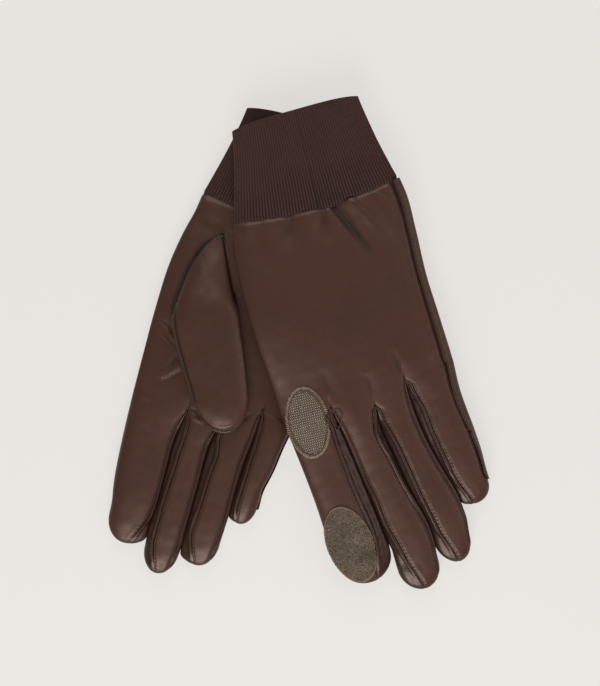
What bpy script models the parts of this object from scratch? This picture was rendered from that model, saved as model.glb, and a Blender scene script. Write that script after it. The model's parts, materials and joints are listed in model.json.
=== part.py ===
"""Pair of women's leather gloves with rib-knit cuffs and a fold-back fingertip.

The pair lies flat: the right glove is palm up on the table, the left glove lies partly
across it, back of the hand up.  Each glove is described in its own flat frame in
millimetres: u runs across towards the little finger, v runs from the wrist seam
towards the fingertips and w is up.  The two gloves are mirror images through w.

World frame: metres, +Z up, table at z = 0, fingers towards -Y.
"""
import math

import bmesh
import bpy
import numpy as np
from mathutils import Vector
from mathutils.bvhtree import BVHTree

MM = 0.001

# ---------------------------------------------------------------- driving dimensions, mm
LEATHER = 1.0            # glove leather
SIDEWALL = 0.9           # fourchettes and gussets
KNIT = 1.5               # folded rib knit of the cuff
SEAM_GAP = 0.4           # clearance left where two panels are sewn
SPLIT_MARGIN = 0.35      # a panel's edge stays this far from the glove's mid surface
REST_FLAT = 4.6          # half thickness of the side that a glove lies on
PALM_HALF = 5.0          # half thickness of the upper side
PRESSED_HALF = 3.2       # the same under the other glove
FINGER_HALF = 4.9        # half thickness of a finger
CAP_LENGTH = 13.0        # rounded end of a finger
CUFF_LENGTH = 48.0
RIBS_PER_SIDE = 57
PATCH_THICK = 1.1
THUMB_HEIGHT = 8.6
TUCKED_THUMB_HEIGHT = 4.6
FOLD_AXIS_LIFT = 2.0     # fold-back axis above the leather of the finger's back
FOLD_LEAN = 0.061        # direction of the fold-back finger in the glove's frame
FOLD_POINT = (-33.1, 139.0)

# Outline of each hand as (v, u) points, crotches as (u, v), and the four fingers.
LEFT_HAND = {
    "name": "left",
    "origin": (10.2, 71.1),
    "turn": 15.7,
    "back_up": True,
    "index_side": ((0.0, -44.6), (12.0, -47.3), (26.0, -48.8), (48.0, -49.5), (66.0, -49.2),
                   (82.0, -48.1), (101.0, -47.4)),
    "little_side": ((0.0, 43.8), (26.0, 43.5), (50.0, 42.5), (71.0, 43.1), (96.0, 43.8)),
    "crotches": ((-21.9, 102.4), (0.0, 107.5), (17.9, 98.3)),
    # each finger: (v, centre u, half width) along it, then its tip (v, u)
    "fingers": {
        "index": (((122.0, -32.2, 12.8), (145.0, -29.6, 13.3), (168.0, -27.7, 14.0)), (194.0, -25.4)),
        "middle": (((118.0, -9.8, 9.1), (137.0, -6.9, 9.5), (150.0, -5.1, 9.7), (166.0, -2.5, 10.6),
                    (184.0, 0.2, 11.0)), (204.8, 0.9)),
        "ring": (((119.0, 9.6, 8.9), (140.0, 12.9, 9.2), (154.0, 16.1, 9.8), (168.0, 19.5, 9.8),
                  (182.0, 21.5, 9.5)), (196.0, 21.5)),
        "little": (((110.0, 31.1, 12.2), (135.0, 33.8, 11.3), (150.0, 36.0, 10.0), (160.0, 37.4, 8.8)),
                   (169.5, 38.0)),
    },
}
RIGHT_HAND = {
    "name": "right",
    "origin": (-7.65, 65.0),
    "turn": -14.3,
    "back_up": False,
    "index_side": ((0.0, -43.0), (8.0, -44.3), (20.5, -47.5), (39.0, -50.7), (58.0, -51.8),
                   (90.0, -52.2), (108.0, -52.3)),
    "little_side": ((0.0, 42.8), (25.0, 43.0), (50.0, 41.5), (75.0, 38.0), (95.0, 33.6), (103.0, 31.6)),
    "crotches": ((-22.9, 109.5), (-5.9, 113.5), (14.5, 99.5)),
    "fingers": {
        "index": (((126.0, -39.1, 12.9), (144.0, -38.8, 12.5), (160.0, -38.2, 11.9), (174.0, -37.9, 10.9)),
                  (182.8, -37.8)),
        "middle": (((126.0, -16.8, 8.3), (142.0, -17.0, 8.5), (160.0, -17.5, 8.7), (176.0, -18.3, 9.2)),
                   (193.8, -18.3)),
        "ring": (((126.0, 2.2, 9.4), (140.0, 1.6, 9.4), (156.0, 1.3, 9.6), (170.0, 0.9, 9.4)), (184.8, 0.6)),
        "little": (((115.0, 21.4, 7.5), (126.0, 20.1, 7.2), (140.0, 18.0, 6.4)), (158.8, 16.8)),
    },
}
# How the left glove drapes over the right one: height under its middle and its slope across, by v.
# Beyond FINGERS_FROM its fingers lie on one plane that falls towards the fingertips.
FINGERS_FROM = 90.0
DRAPE_FALL = -0.0715
DRAPE_LEVEL = ((-50.0, 9.3), (0.0, 9.5), (25.0, 10.2), (50.0, 10.3), (72.0, 9.6), (FINGERS_FROM, 8.6))
DRAPE_TILT = ((-50.0, 0.0), (0.0, -0.015), (25.0, -0.055), (50.0, -0.085), (72.0, -0.065), (FINGERS_FROM, -0.03))
FINGER_NAMES = ("index", "middle", "ring", "little")

# How far each finger seam sits in from the finger's edge, (little side, index side), mm.
SEAM_INSET = {"index": (6.0, 0.0), "middle": (2.9, 2.9), "ring": (2.4, 3.2), "little": (0.0, 3.4)}
OUTER_SEAM_INSET = 3.2

# Thumb: hinge line centre and axis direction, then (distance, centre offset, half width) along it.
# The left thumb is tucked under the hand, further across the palm.
THUMB_CENTRE = {"right": (-24.5, 59.0), "left": (-16.0, 61.5)}
THUMB_DIRECTION = {"right": (0.380, 0.925), "left": (0.450, 0.893)}
THUMB_WIDTHS = ((0.0, -1.4, 17.2), (14.0, -1.0, 16.8), (26.0, -0.8, 16.4), (38.0, 0.2, 15.4), (48.0, 0.8, 13.4))
THUMB_LENGTH = 61.0
HOOD_LENGTH = 38.0


# ---------------------------------------------------------------- small mathematics
def smooth(low, high, value):
    """Smooth step from 0 at low to 1 at high."""
    step = np.clip((np.asarray(value, float) - low) / (high - low), 0.0, 1.0)
    return step * step * (3.0 - 2.0 * step)


def along(points, value):
    """Smooth curve through (place, value) points, straight beyond the ends."""
    places = np.array([p[0] for p in points], float)
    values = np.array([p[1] for p in points], float)
    slopes = np.gradient(values, places)
    spot = np.asarray(value, float)
    cell = np.clip(np.searchsorted(places, spot) - 1, 0, len(places) - 2)
    width = places[cell + 1] - places[cell]
    t = np.clip((spot - places[cell]) / width, 0.0, 1.0)
    rise = ((2 * t ** 3 - 3 * t ** 2 + 1) * values[cell] + (t ** 3 - 2 * t ** 2 + t) * width * slopes[cell]
            + (3 * t ** 2 - 2 * t ** 3) * values[cell + 1] + (t ** 3 - t ** 2) * width * slopes[cell + 1])
    return rise


def crown(x, power):
    """Height of a superellipse of the given power at x, from 1 at the middle to 0 at the edge."""
    return (1.0 - np.clip(np.abs(x), 0.0, 1.0) ** power) ** (1.0 / power)


# ---------------------------------------------------------------- one glove's surface
def rest_height(glove, u, v):
    """Height of the glove's mid surface above the table."""
    if not glove["back_up"]:
        return REST_FLAT + 0.0 * u
    level = along(DRAPE_LEVEL, v) + DRAPE_FALL * np.maximum(v - FINGERS_FROM, 0.0)
    return level + along(DRAPE_TILT, v) * u + FINGER_HALF


def hand_half(glove, u, v, face):
    """Half thickness of the hand before its edges round off."""
    swell = 0.86 + 0.14 * smooth(0.0, 30.0, v)
    if glove["back_up"]:
        return FINGER_HALF * swell
    if face < 0:
        return (REST_FLAT + 0.5) * swell
    pressed = smooth(-14.0, 10.0, u) * (1.0 - smooth(85.0, 115.0, v))
    return (PALM_HALF + (PRESSED_HALF - PALM_HALF) * pressed) * swell


def lift(glove, u, v, half, face):
    """Height of the surface above the table, flattened where the glove rests."""
    if face < 0 and not glove["back_up"]:
        half = np.minimum(half, REST_FLAT)
    return rest_height(glove, u, v) + face * half


def wrist_line(u):
    """v of the wrist seam, bowed a little towards the fingers."""
    return 3.2 - 0.0024 * u * u


def ray_edges(glove, ray):
    """Wrist and crotch points at the two edges of one of the hand's four strips."""
    index_end = glove["index_side"][-1]
    little_end = glove["little_side"][-1]
    tops = ((index_end[1], index_end[0]),) + glove["crotches"] + ((little_end[1], little_end[0]),)
    wrist = np.linspace(glove["index_side"][0][1], glove["little_side"][0][1], 5)
    return (wrist[ray], tops[ray]), (wrist[ray + 1], tops[ray + 1])


def hand_point(glove, ray, s, x, face):
    """Point of the hand: s from wrist to crotches, x from -1 to 1 across the strip."""
    edges = []
    for side, (wrist_u, top) in enumerate(ray_edges(glove, ray)):
        v = wrist_line(wrist_u) + (top[1] - wrist_line(wrist_u)) * s
        if ray + side == 0:
            u = along(glove["index_side"], v)
        elif ray + side == 4:
            u = along(glove["little_side"], v)
        else:
            u = wrist_u + (top[0] - wrist_u) * s
        edges.append((u, v))
    mix = (np.asarray(x) + 1.0) * 0.5
    u = edges[0][0] * (1.0 - mix) + edges[1][0] * mix
    v = edges[0][1] * (1.0 - mix) + edges[1][1] * mix
    left = along(glove["index_side"], v)
    right = along(glove["little_side"], v)
    across = np.clip((2.0 * u - left - right) / (right - left), -1.0, 1.0)
    reach = (s - 1.0) * (ray_edges(glove, ray)[1][1][1] - wrist_line(0.0))
    dip = smooth(-10.0, 14.0, reach)
    half = hand_half(glove, u, v, face) * (crown(across, 3.0) * (1.0 - dip) + dip)
    half = half * side_round(glove, ray, x, dip)
    return np.stack([u, v, lift(glove, u, v, half, face)], -1)


def side_round(glove, ray, x, dip):
    """Rounding towards the edges of a strip: full on a finger, none inside the hand."""
    edge = crown(x, 2.4)
    inner = 1.0 - dip + dip * edge
    outer = np.where(dip > 0.0, edge ** np.clip(4.0 * dip, 0.0, 1.0), 1.0)
    outer_side = ((ray == 0) & (np.asarray(x) < 0.0)) | ((ray == 3) & (np.asarray(x) > 0.0))
    return np.where(outer_side, outer, inner)


def finger_spine(glove, ray):
    """Curves of a finger: centre v, centre u and half width against distance from its root."""
    (_, left_top), (_, right_top) = ray_edges(glove, ray)
    stations, tip = glove["fingers"][FINGER_NAMES[ray]]
    root_v = 0.5 * (left_top[1] + right_top[1])
    root_u = 0.5 * (left_top[0] + right_top[0])
    root_half = 0.5 * math.hypot(right_top[0] - left_top[0], right_top[1] - left_top[1])
    root_tilt = math.atan2(left_top[1] - right_top[1], right_top[0] - left_top[0])
    length = tip[0] - root_v
    centre = ((0.0, root_u),) + tuple((s[0] - root_v, s[1]) for s in stations) + ((length, tip[1]),)
    width = ((0.0, root_half),) + tuple((s[0] - root_v, s[2]) for s in stations)
    width += ((length, stations[-1][2] * 0.98),)
    return root_v, root_tilt, length, centre, width


def finger_lean(glove, ray):
    """Direction of a finger's cross sections, as the sine of their tilt."""
    if ray == 0 and glove["back_up"]:
        return FOLD_LEAN
    stations, tip = glove["fingers"][FINGER_NAMES[ray]]
    return (tip[1] - stations[0][1]) / (tip[0] - stations[0][0])


def finger_point(glove, ray, reach, x, face):
    """Point of a finger: reach in mm from its root line, x from -1 to 1 across it."""
    root_v, root_tilt, length, centre, width = finger_spine(glove, ray)
    reach = np.asarray(reach, float)
    x = np.asarray(x, float)
    u = along(centre, reach)
    half_width = along(width, reach)
    turn = smooth(0.0, 22.0, reach)
    tilt = root_tilt * (1.0 - turn) + math.asin(finger_lean(glove, ray)) * turn
    bow = CAP_LENGTH * smooth(length * 0.5, length, reach) * (1.0 - np.sqrt(np.clip(1.0 - x * x, 0.0, 1.0)))
    pu = u + x * half_width * np.cos(tilt) - bow * np.sin(tilt)
    pv = root_v + reach - x * half_width * np.sin(tilt) - bow * np.cos(tilt)
    left = along(glove["index_side"], pv)
    right = along(glove["little_side"], pv)
    across = np.clip((2.0 * pu - left - right) / (right - left), -1.0, 1.0)
    dip = smooth(-10.0, 14.0, reach)
    hand = hand_half(glove, pu, pv, face) * (crown(across, 3.0) * (1.0 - dip) + dip)
    finger = FINGER_HALF + (0.4 if glove["back_up"] else 0.3) * smooth(0.3, 0.8, reach / length)
    tip = crown(np.clip((reach - (length - CAP_LENGTH)) / CAP_LENGTH, 0.0, 1.0), 2.2)
    half = (hand * (1.0 - dip) + finger * dip) * side_round(glove, ray, x, dip) * tip
    return np.stack([pu, pv, lift(glove, pu, pv, half, face)], -1)


def finger_length(glove, ray):
    return finger_spine(glove, ray)[2]


def seam_inset(glove, ray, side, reach):
    """Distance of the sidewall seam from the finger's edge (side -1 index side, 1 little side)."""
    full = SEAM_INSET[FINGER_NAMES[ray]][0 if side > 0 else 1]
    share = reach / finger_length(glove, ray)
    taper = 1.0 - 0.6 * np.clip((share - 0.4) / (SIDE_STOP - 0.4), 0.0, 1.0)
    return full * smooth(-1.0, 12.0, reach) * taper * (1.0 - smooth(SIDE_STOP, SIDE_STOP + 0.1, share))


def seam_place(glove, ray, side, reach):
    """x of the sidewall seam on a finger."""
    width = finger_spine(glove, ray)[4]
    return side * (1.0 - seam_inset(glove, ray, side, reach) / along(width, reach))


# ---------------------------------------------------------------- sheets to closed solids
def to_world(glove, points):
    """Glove frame in mm to world metres."""
    angle = math.radians(glove["turn"])
    u, v, w = points[..., 0], points[..., 1], points[..., 2]
    x = glove["origin"][0] + u * math.cos(angle) + v * math.sin(angle)
    y = glove["origin"][1] + u * math.sin(angle) - v * math.cos(angle)
    return np.stack([x, y, w], -1) * MM


def vertex_normals(points, faces):
    normals = np.zeros_like(points)
    for face in faces:
        corners = points[list(face)]
        area = np.cross(corners[2] - corners[0], corners[-1] - corners[1])
        for corner in face:
            normals[corner] += area
    size = np.linalg.norm(normals, axis=1, keepdims=True)
    return normals / np.where(size > 1e-12, size, 1.0)


def open_edges(faces):
    """Directed edges that belong to one face only."""
    edges = {}
    for face in faces:
        for a, b in zip(face, face[1:] + face[:1]):
            edges[(a, b)] = True
    return [(a, b) for a, b in edges if (b, a) not in edges]


def thicken(points, faces, thickness, keep_side=None):
    """Closed solid from a sheet whose faces look outward; keep_side(inner, outer) limits the inside."""
    points = np.asarray(points, float)
    inner = points - vertex_normals(points, faces) * thickness
    if keep_side is not None:
        inner = keep_side(inner, points)
    count = len(points)
    solid = [tuple(face) for face in faces]
    solid += [tuple(corner + count for corner in reversed(face)) for face in faces]
    solid += [(b, a, a + count, b + count) for a, b in open_edges(faces)]
    return np.concatenate([points, inner]), solid


def grid_faces(rows, columns, flip=False):
    faces = []
    for row in range(rows - 1):
        for column in range(columns - 1):
            a = row * columns + column
            quad = (a, a + 1, a + columns + 1, a + columns)
            faces.append(quad[::-1] if flip else quad)
    return faces


def material(name, colour, roughness, sheen=0.0):
    mat = bpy.data.materials.new(name)
    mat.use_nodes = True
    shader = mat.node_tree.nodes["Principled BSDF"]
    shader.inputs["Base Color"].default_value = (*colour, 1.0)
    shader.inputs["Roughness"].default_value = roughness
    shader.inputs["Metallic"].default_value = 0.0
    shader.inputs["Sheen Weight"].default_value = sheen
    return mat


def add_object(name, points, faces, mat, parent, pivot=(0.0, 0.0, 0.0)):
    """Mesh object whose world-space points hang from its parent empty at the pivot."""
    mesh = bpy.data.meshes.new(name)
    mesh.from_pydata([tuple(p) for p in np.asarray(points) - np.asarray(pivot)], [], faces)
    mesh.validate()
    body = bmesh.new()
    body.from_mesh(mesh)
    bmesh.ops.recalc_face_normals(body, faces=body.faces)
    bmesh.ops.triangulate(body, faces=[f for f in body.faces if len(f.verts) > 4])
    body.to_mesh(mesh)
    body.free()
    mesh.materials.append(mat)
    item = bpy.data.objects.new(name, mesh)
    bpy.context.collection.objects.link(item)
    item.parent = parent
    return item


def add_empty(name, place, parent=None):
    empty = bpy.data.objects.new(name, None)
    empty.empty_display_size = 0.02
    bpy.context.collection.objects.link(empty)
    empty.location = place
    empty.parent = parent
    return empty


# ---------------------------------------------------------------- leather panels
HAND_ROWS = 11
FINGER_ROWS = 11
COLUMNS = 6


def finger_reaches(glove, ray, start=0.0, rows=FINGER_ROWS):
    """Distances of the cross sections of a finger, closer together at the rounded tip."""
    length = finger_length(glove, ray)
    span = np.linspace(0.0, 1.0, rows)
    even = start + (length - start) * span
    crowded = start + (length - start) * np.sin(span * math.pi / 2.0)
    return np.concatenate([(even * 0.45 + crowded * 0.55)[:-1], [length]])


def column_places(low, high, low_round, high_round, count=COLUMNS):
    """x of the columns of a panel, closer together towards a rounded edge."""
    span = np.linspace(0.0, 1.0, count)
    if low_round and high_round:
        span = 0.5 - 0.5 * np.cos(span * math.pi)
    elif low_round:
        span = 1.0 - np.cos(span * math.pi / 2.0)
    elif high_round:
        span = np.sin(span * math.pi / 2.0)
    return low + (high - low) * span


def panel_sheet(glove, face, wrap_side, cut=None):
    """Sheet of the back or the palm: four strips that part at the crotches.

    wrap_side adds the strip that folds round the little finger's edge to the outer seam.
    cut is the distance at which the index finger ends, for the fold-back tip.
    """
    points = []
    index = {}
    faces = []

    def vertex(key, point):
        if key not in index:
            index[key] = len(points)
            points.append(point)
        return index[key]

    for ray in range(4):
        reaches = finger_reaches(glove, ray)
        if ray == 0 and cut is not None:
            reaches = np.linspace(0.0, cut, 6)
        stations = [("hand", s) for s in np.linspace(0.006, 1.0, HAND_ROWS)]
        stations += [("finger", r) for r in reaches[1:]]
        rows = []
        for number, (part, place) in enumerate(stations):
            low, high = strip_limits(glove, ray, part, place, wrap_side, face)
            xs = column_places(low, high, ray == 0 or part == "finger", ray == 3 or part == "finger")
            if part == "hand":
                line = [hand_point(glove, ray, place, x, face) for x in xs]
            else:
                line = [finger_point(glove, ray, place, x, face) for x in xs]
            if ray == 3 and wrap_side and face != wrap_side:
                line += wrap_points(glove, part, place, -face)
            keys = []
            for column, point in enumerate(line):
                shared = part == "hand" and column == 0 and ray > 0
                key = (ray - 1, number, COLUMNS - 1) if shared else (ray, number, column)
                keys.append(vertex(key, point))
            rows.append(keys)
        for lower, upper in zip(rows, rows[1:]):
            for a, b, c, d in zip(lower, lower[1:], upper[1:], upper):
                faces.append((a, b, c, d) if face > 0 else (a, d, c, b))
    return np.array(points), faces


def strip_limits(glove, ray, part, place, wrap_side, face):
    """x range of the leather of one strip at one cross section."""
    if part == "hand":
        low, high = -1.0, 1.0
    else:
        low = seam_place(glove, ray, -1, place)
        high = seam_place(glove, ray, 1, place)
    if ray == 3 and face == wrap_side:
        high = outer_seam_place(glove, part, place)
    return low, high


def outer_seam_place(glove, part, place):
    """x of the seam along the little finger side, on the back of the hand."""
    if part == "hand":
        (wrist_u, _), (_, _) = ray_edges(glove, 3)
        return 1.0 - OUTER_SEAM_INSET / 11.0
    length = finger_length(glove, 3)
    width = along(finger_spine(glove, 3)[4], place)
    inset = OUTER_SEAM_INSET * (1.0 - 0.6 * smooth(0.2, 0.75, place / length))
    inset *= 1.0 - smooth(0.8, 0.97, place / length)
    return 1.0 - inset / width


def wrap_points(glove, part, place, face):
    """The palm leather from the little finger's edge back up to the outer seam."""
    seam = outer_seam_place(glove, part, place)
    width = 11.0 if part == "hand" else along(finger_spine(glove, 3)[4], place)
    if part == "finger" and place > finger_length(glove, 3) * 0.9:
        seam = 1.0
    stop = seam + SEAM_GAP / width
    line = []
    for x in (1.0 - (1.0 - stop) * 0.45, stop):
        if part == "hand":
            line.append(hand_point(glove, 3, place, min(x, 0.9995), face))
        else:
            line.append(finger_point(glove, 3, place, min(x, 0.9995), face))
    return line


def split_clear(glove, face, margin=SPLIT_MARGIN):
    """Rule that keeps a panel on its own side of the glove's mid surface."""
    def keep(inner, outer):
        mid = rest_height(glove, inner[:, 0], inner[:, 1])
        own = face * (outer[:, 2] - rest_height(glove, outer[:, 0], outer[:, 1])) >= 0.0
        limit = mid + face * margin
        inner[:, 2] = np.where(own & (face * (inner[:, 2] - limit) < 0.0), limit, inner[:, 2])
        return inner
    return keep


def panel(glove, face, wrap_side, cut=None):
    """Closed leather panel of the back or the palm, in the glove's frame."""
    points, faces = panel_sheet(glove, face, wrap_side, cut)
    keep = split_clear(glove, face)
    points = keep(points, points)
    return thicken(points, faces, LEATHER, keep)


def cap_panel(glove, face, start):
    """Back or palm leather of the fold-back tip."""
    rows = finger_reaches(glove, 0, start, 9)
    points = []
    for reach in rows:
        low, high = strip_limits(glove, 0, "finger", reach, 0, face)
        points += [finger_point(glove, 0, reach, x, face) for x in column_places(low, high, True, True)]
    points = np.array(points)
    keep = split_clear(glove, face)
    points = keep(points, points)
    return thicken(points, grid_faces(len(rows), COLUMNS, face < 0), LEATHER, keep)


def resample(line, count, trim_low, trim_high):
    """Evenly spaced points along a polyline, with its ends trimmed."""
    line = np.asarray(line)
    run = np.concatenate([[0.0], np.cumsum(np.linalg.norm(np.diff(line, axis=0), axis=1))])
    low = min(trim_low, run[-1] * 0.4)
    high = run[-1] - min(trim_high, run[-1] * 0.4)
    spots = np.linspace(low, high, count)
    return np.stack([np.interp(spots, run, line[:, k]) for k in range(3)], -1)


def side_line(glove, ray, side, reach, count):
    """Cross section of a sidewall, from its upper seam round to its lower seam."""
    seam = abs(seam_place(glove, ray, side, reach))
    xs = side * np.sin(np.linspace(math.asin(min(seam, 0.999)), math.pi / 2.0, 14))
    upper = [finger_point(glove, ray, reach, x, 1) for x in xs]
    lower = [finger_point(glove, ray, reach, x, -1) for x in xs[::-1]]
    trim = SIDE_TRIM + 1.1 * (1.0 - smooth(0.0, 16.0, reach))
    return resample(upper + lower, count, trim, trim)


SIDE_ROWS = 12
SIDE_COLUMNS = 5
SIDE_STOP = 0.82         # sidewalls end at this share of a finger's length
SIDE_TRIM = 1.0          # sidewall kept back from its seams
GUSSET_REACH = 3.2


def sidewall(glove, ray, side, start, stop, rows=SIDE_ROWS):
    """Fourchette: the strip of leather along one inner side of a finger."""
    lines = [side_line(glove, ray, side, reach, SIDE_COLUMNS) for reach in np.linspace(start, stop, rows)]
    return thicken(np.concatenate(lines), grid_faces(rows, SIDE_COLUMNS, side < 0), SIDEWALL)


def gusset(glove, ray):
    """Quirk: the small folded gusset that joins two sidewalls at a crotch."""
    columns = []
    for finger, side, reaches in ((ray, 1, (GUSSET_REACH - 0.4, 1.6)), (ray + 1, -1, (1.6, GUSSET_REACH - 0.4))):
        columns += [side_line(glove, finger, side, reach, 6)[1:-1] for reach in reaches]
    crotch = np.mean([finger_point(glove, ray, 0.25, 1.0, face) for face in (1, -1)], axis=0)
    middle = columns[1].copy()
    middle[:, 0:2] = crotch[0:2]
    columns.insert(2, middle)
    rows, count = 4, len(columns)
    points = np.array([columns[c][r] for r in range(rows) for c in range(count)])
    return thicken(points, grid_faces(rows, count), SIDEWALL * 0.6)


# ---------------------------------------------------------------- rib-knit cuffs
def cuff_outline(glove, t):
    """Half width and half thickness of the cuff, t from the wrist seam to the mouth."""
    wrist = 0.5 * (glove["little_side"][0][1] - glove["index_side"][0][1]) - 0.8
    mouth = wrist - 9.6
    half_width = mouth + (wrist - mouth) * (1.0 - t) ** 1.25
    return half_width, REST_FLAT - 0.35 * math.sin(t * math.pi)


def cuff_point(glove, t, angle, depth):
    """Point of the cuff: t along it, angle round it, depth inside the outer surface."""
    half_width, half_height = cuff_outline(glove, t)
    cos, sin = math.cos(angle), math.sin(angle)
    x = math.copysign(abs(cos) ** 0.55, cos)
    z = math.copysign(abs(sin) ** 0.75, sin)
    u = (half_width - depth) * x
    top = 1.6 * abs(x) ** 4
    v = wrist_line(u) * (1.0 - t) - SEAM_GAP - t * (CUFF_LENGTH - top)
    level = half_height - depth
    lean = 0.5 * (glove["little_side"][0][1] + glove["index_side"][0][1])
    return np.array([u + lean * (1.0 - t) + 1.0 * t, v, rest_height(glove, u, v) + level * z])


def cuff(glove):
    """Band of rib knit, folded double at its mouth, as one closed sleeve."""
    around = 4 * RIBS_PER_SIDE
    path = [(0.0, 0.0), (0.97, 0.0), (1.0, KNIT * 0.5), (0.97, KNIT), (0.03, KNIT)]
    angles = rib_angles(around)
    points = []
    for t, depth in path:
        ribbed = 0.28 if depth < KNIT * 0.4 else 0.0
        for number, angle in enumerate(angles):
            groove = ribbed * (number % 2)
            points.append(cuff_point(glove, t, angle, depth + groove))
    rows = len(path)
    faces = []
    for row in range(rows):
        for k in range(around):
            a, b = row * around + k, row * around + (k + 1) % around
            up = (row + 1) % rows * around
            faces.append((a, b, up + (k + 1) % around, up + k))
    return np.array(points), faces


def rib_angles(count):
    """Angles round the flattened cuff that space the ribs evenly along its outline."""
    fine = np.linspace(0.0, 2.0 * math.pi, 2000)
    x = np.sign(np.cos(fine)) * np.abs(np.cos(fine)) ** 0.55 * 40.0
    z = np.sign(np.sin(fine)) * np.abs(np.sin(fine)) ** 0.75 * 4.5
    run = np.concatenate([[0.0], np.cumsum(np.hypot(np.diff(x), np.diff(z)))])
    return np.interp(np.arange(count) / count * run[-1], run, fine)


# ---------------------------------------------------------------- thumbs
def thumb_place(glove, across, forward):
    """Plan place from distances across and along the thumb."""
    centre, (du, dv) = THUMB_CENTRE[glove["name"]], THUMB_DIRECTION[glove["name"]]
    return (centre[0] + across * dv + forward * du, centre[1] - across * du + forward * dv)


def thumb_plan(glove, distance, x):
    """Plan place of a thumb point: distance from the hinge line, x across from -1 to 1."""
    offset = along(tuple((w[0], w[1]) for w in THUMB_WIDTHS), distance)
    half = along(tuple((w[0], w[2]) for w in THUMB_WIDTHS), distance)
    cap = 20.0
    bow = cap * smooth(THUMB_LENGTH * 0.45, THUMB_LENGTH, distance) * (1.0 - math.sqrt(max(0.0, 1.0 - x * x)))
    return thumb_place(glove, offset + x * half, distance - bow)


def thumb_base(glove, u, v):
    """Height of the palm side that the thumb lies against."""
    if glove["back_up"]:
        return rest_height(glove, u, v) - FINGER_HALF - 0.4
    return REST_FLAT + PALM_HALF + 0.45


def thumb_height(glove, distance):
    if glove["back_up"]:
        return 3.4 + (TUCKED_THUMB_HEIGHT - 3.4) * float(smooth(0.0, 25.0, distance))
    return THUMB_HEIGHT


def thumb_point(glove, distance, x, face):
    """Point of the thumb tube beyond the hinge line."""
    u, v = thumb_plan(glove, distance, x)
    height = thumb_height(glove, distance)
    tip = crown(max(0.0, (distance - THUMB_LENGTH + 16.0) / 16.0), 2.2)
    away = -1.0 if glove["back_up"] else 1.0
    level = away * height * 0.5 + face * height * 0.5 * crown(x, 2.4) * tip
    return np.array([u, v, thumb_base(glove, u, v) + level])


def thumb_tube(glove, start):
    """Thumb leather from the hinge line to the closed tip."""
    span = np.linspace(0.0, 1.0, 10)
    reaches = start + (THUMB_LENGTH - start) * (span * 0.4 + 0.6 * np.sin(span * math.pi / 2.0))
    reaches[-1] = THUMB_LENGTH
    xs = -np.cos(np.linspace(0.0, math.pi, 9))
    around = 2 * len(xs) - 2
    points = []
    for reach in reaches[:-1]:
        points += [thumb_point(glove, reach, x, 1) for x in xs]
        points += [thumb_point(glove, reach, x, -1) for x in xs[-2:0:-1]]
    last = len(points)
    points += [thumb_point(glove, THUMB_LENGTH, x, 1) for x in xs]
    faces = []
    for row in range(len(reaches) - 1):
        for k in range(around):
            a, b = row * around + k, row * around + (k + 1) % around
            if row < len(reaches) - 2:
                faces.append((a, b, b + around, a + around))
            else:
                c = last + (k if k < len(xs) else around - k)
                nxt = (k + 1) % around
                d = last + (nxt if nxt < len(xs) else around - nxt)
                faces.append((a, b, d, c))
    return thicken(np.array(points), faces, LEATHER * (0.8 if glove["back_up"] else 1.0))


def hood_plan(glove, distance, x):
    """Plan place on the thumb's root, from the arc seam (distance -HOOD_LENGTH) to the hinge line."""
    t = -distance / HOOD_LENGTH
    left = 13.0 - 31.6 * math.sqrt(max(0.0, 1.0 - t ** 1.8))
    right = 15.8 - 2.0 * t
    return thumb_place(glove, left + (right - left) * (x + 1.0) * 0.5, distance)


def thumb_hood(glove, surface, stop):
    """Root of the thumb: the leather that rises from the arc seam on the palm."""
    rows = np.linspace(-HOOD_LENGTH * 0.985, stop, 9)
    xs = -np.cos(np.linspace(0.0, math.pi, 9))
    away = -1.0 if glove["back_up"] else 1.0
    points = []
    for distance in rows:
        rise = 0.14 + 0.86 * math.sin((1.0 + distance / HOOD_LENGTH) * math.pi / 2.0) ** 0.9
        for x in xs:
            u, v = hood_plan(glove, distance, x)
            rim = surface(u, v) + away * (0.4 + LEATHER * 0.8)
            top = thumb_base(glove, u, v) + away * thumb_height(glove, 0.0)
            points.append((u, v, rim + (top - rim) * rise * crown(x, 2.2)))
    return thicken(np.array(points), grid_faces(len(rows), len(xs), away < 0), LEATHER * 0.8)


def thumb_hole(glove):
    """Cutter for the thumb's opening in the palm."""
    outline = []
    for distance, x in [(d, -0.8) for d in (-2.5, -9.0, -16.0, -23.0, -29.0)] + [(-33.0, 0.0)]:
        outline.append(hood_plan(glove, distance, x))
    outline += [hood_plan(glove, d, 0.8) for d in (-29.0, -16.0, -2.5)]
    low, high = (4.0, 10.6) if glove["back_up"] else (REST_FLAT + 1.2, REST_FLAT + 8.0)
    points = []
    for level in (low, high):
        for u, v in outline:
            base = rest_height(glove, u, v) - 13.0 if glove["back_up"] else 0.0
            points.append((u, v, base + level))
    count = len(outline)
    faces = [tuple(range(count)), tuple(range(2 * count - 1, count - 1, -1))]
    faces += [(k, k + count, (k + 1) % count + count, (k + 1) % count) for k in range(count)]
    return np.array(points), faces


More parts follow.
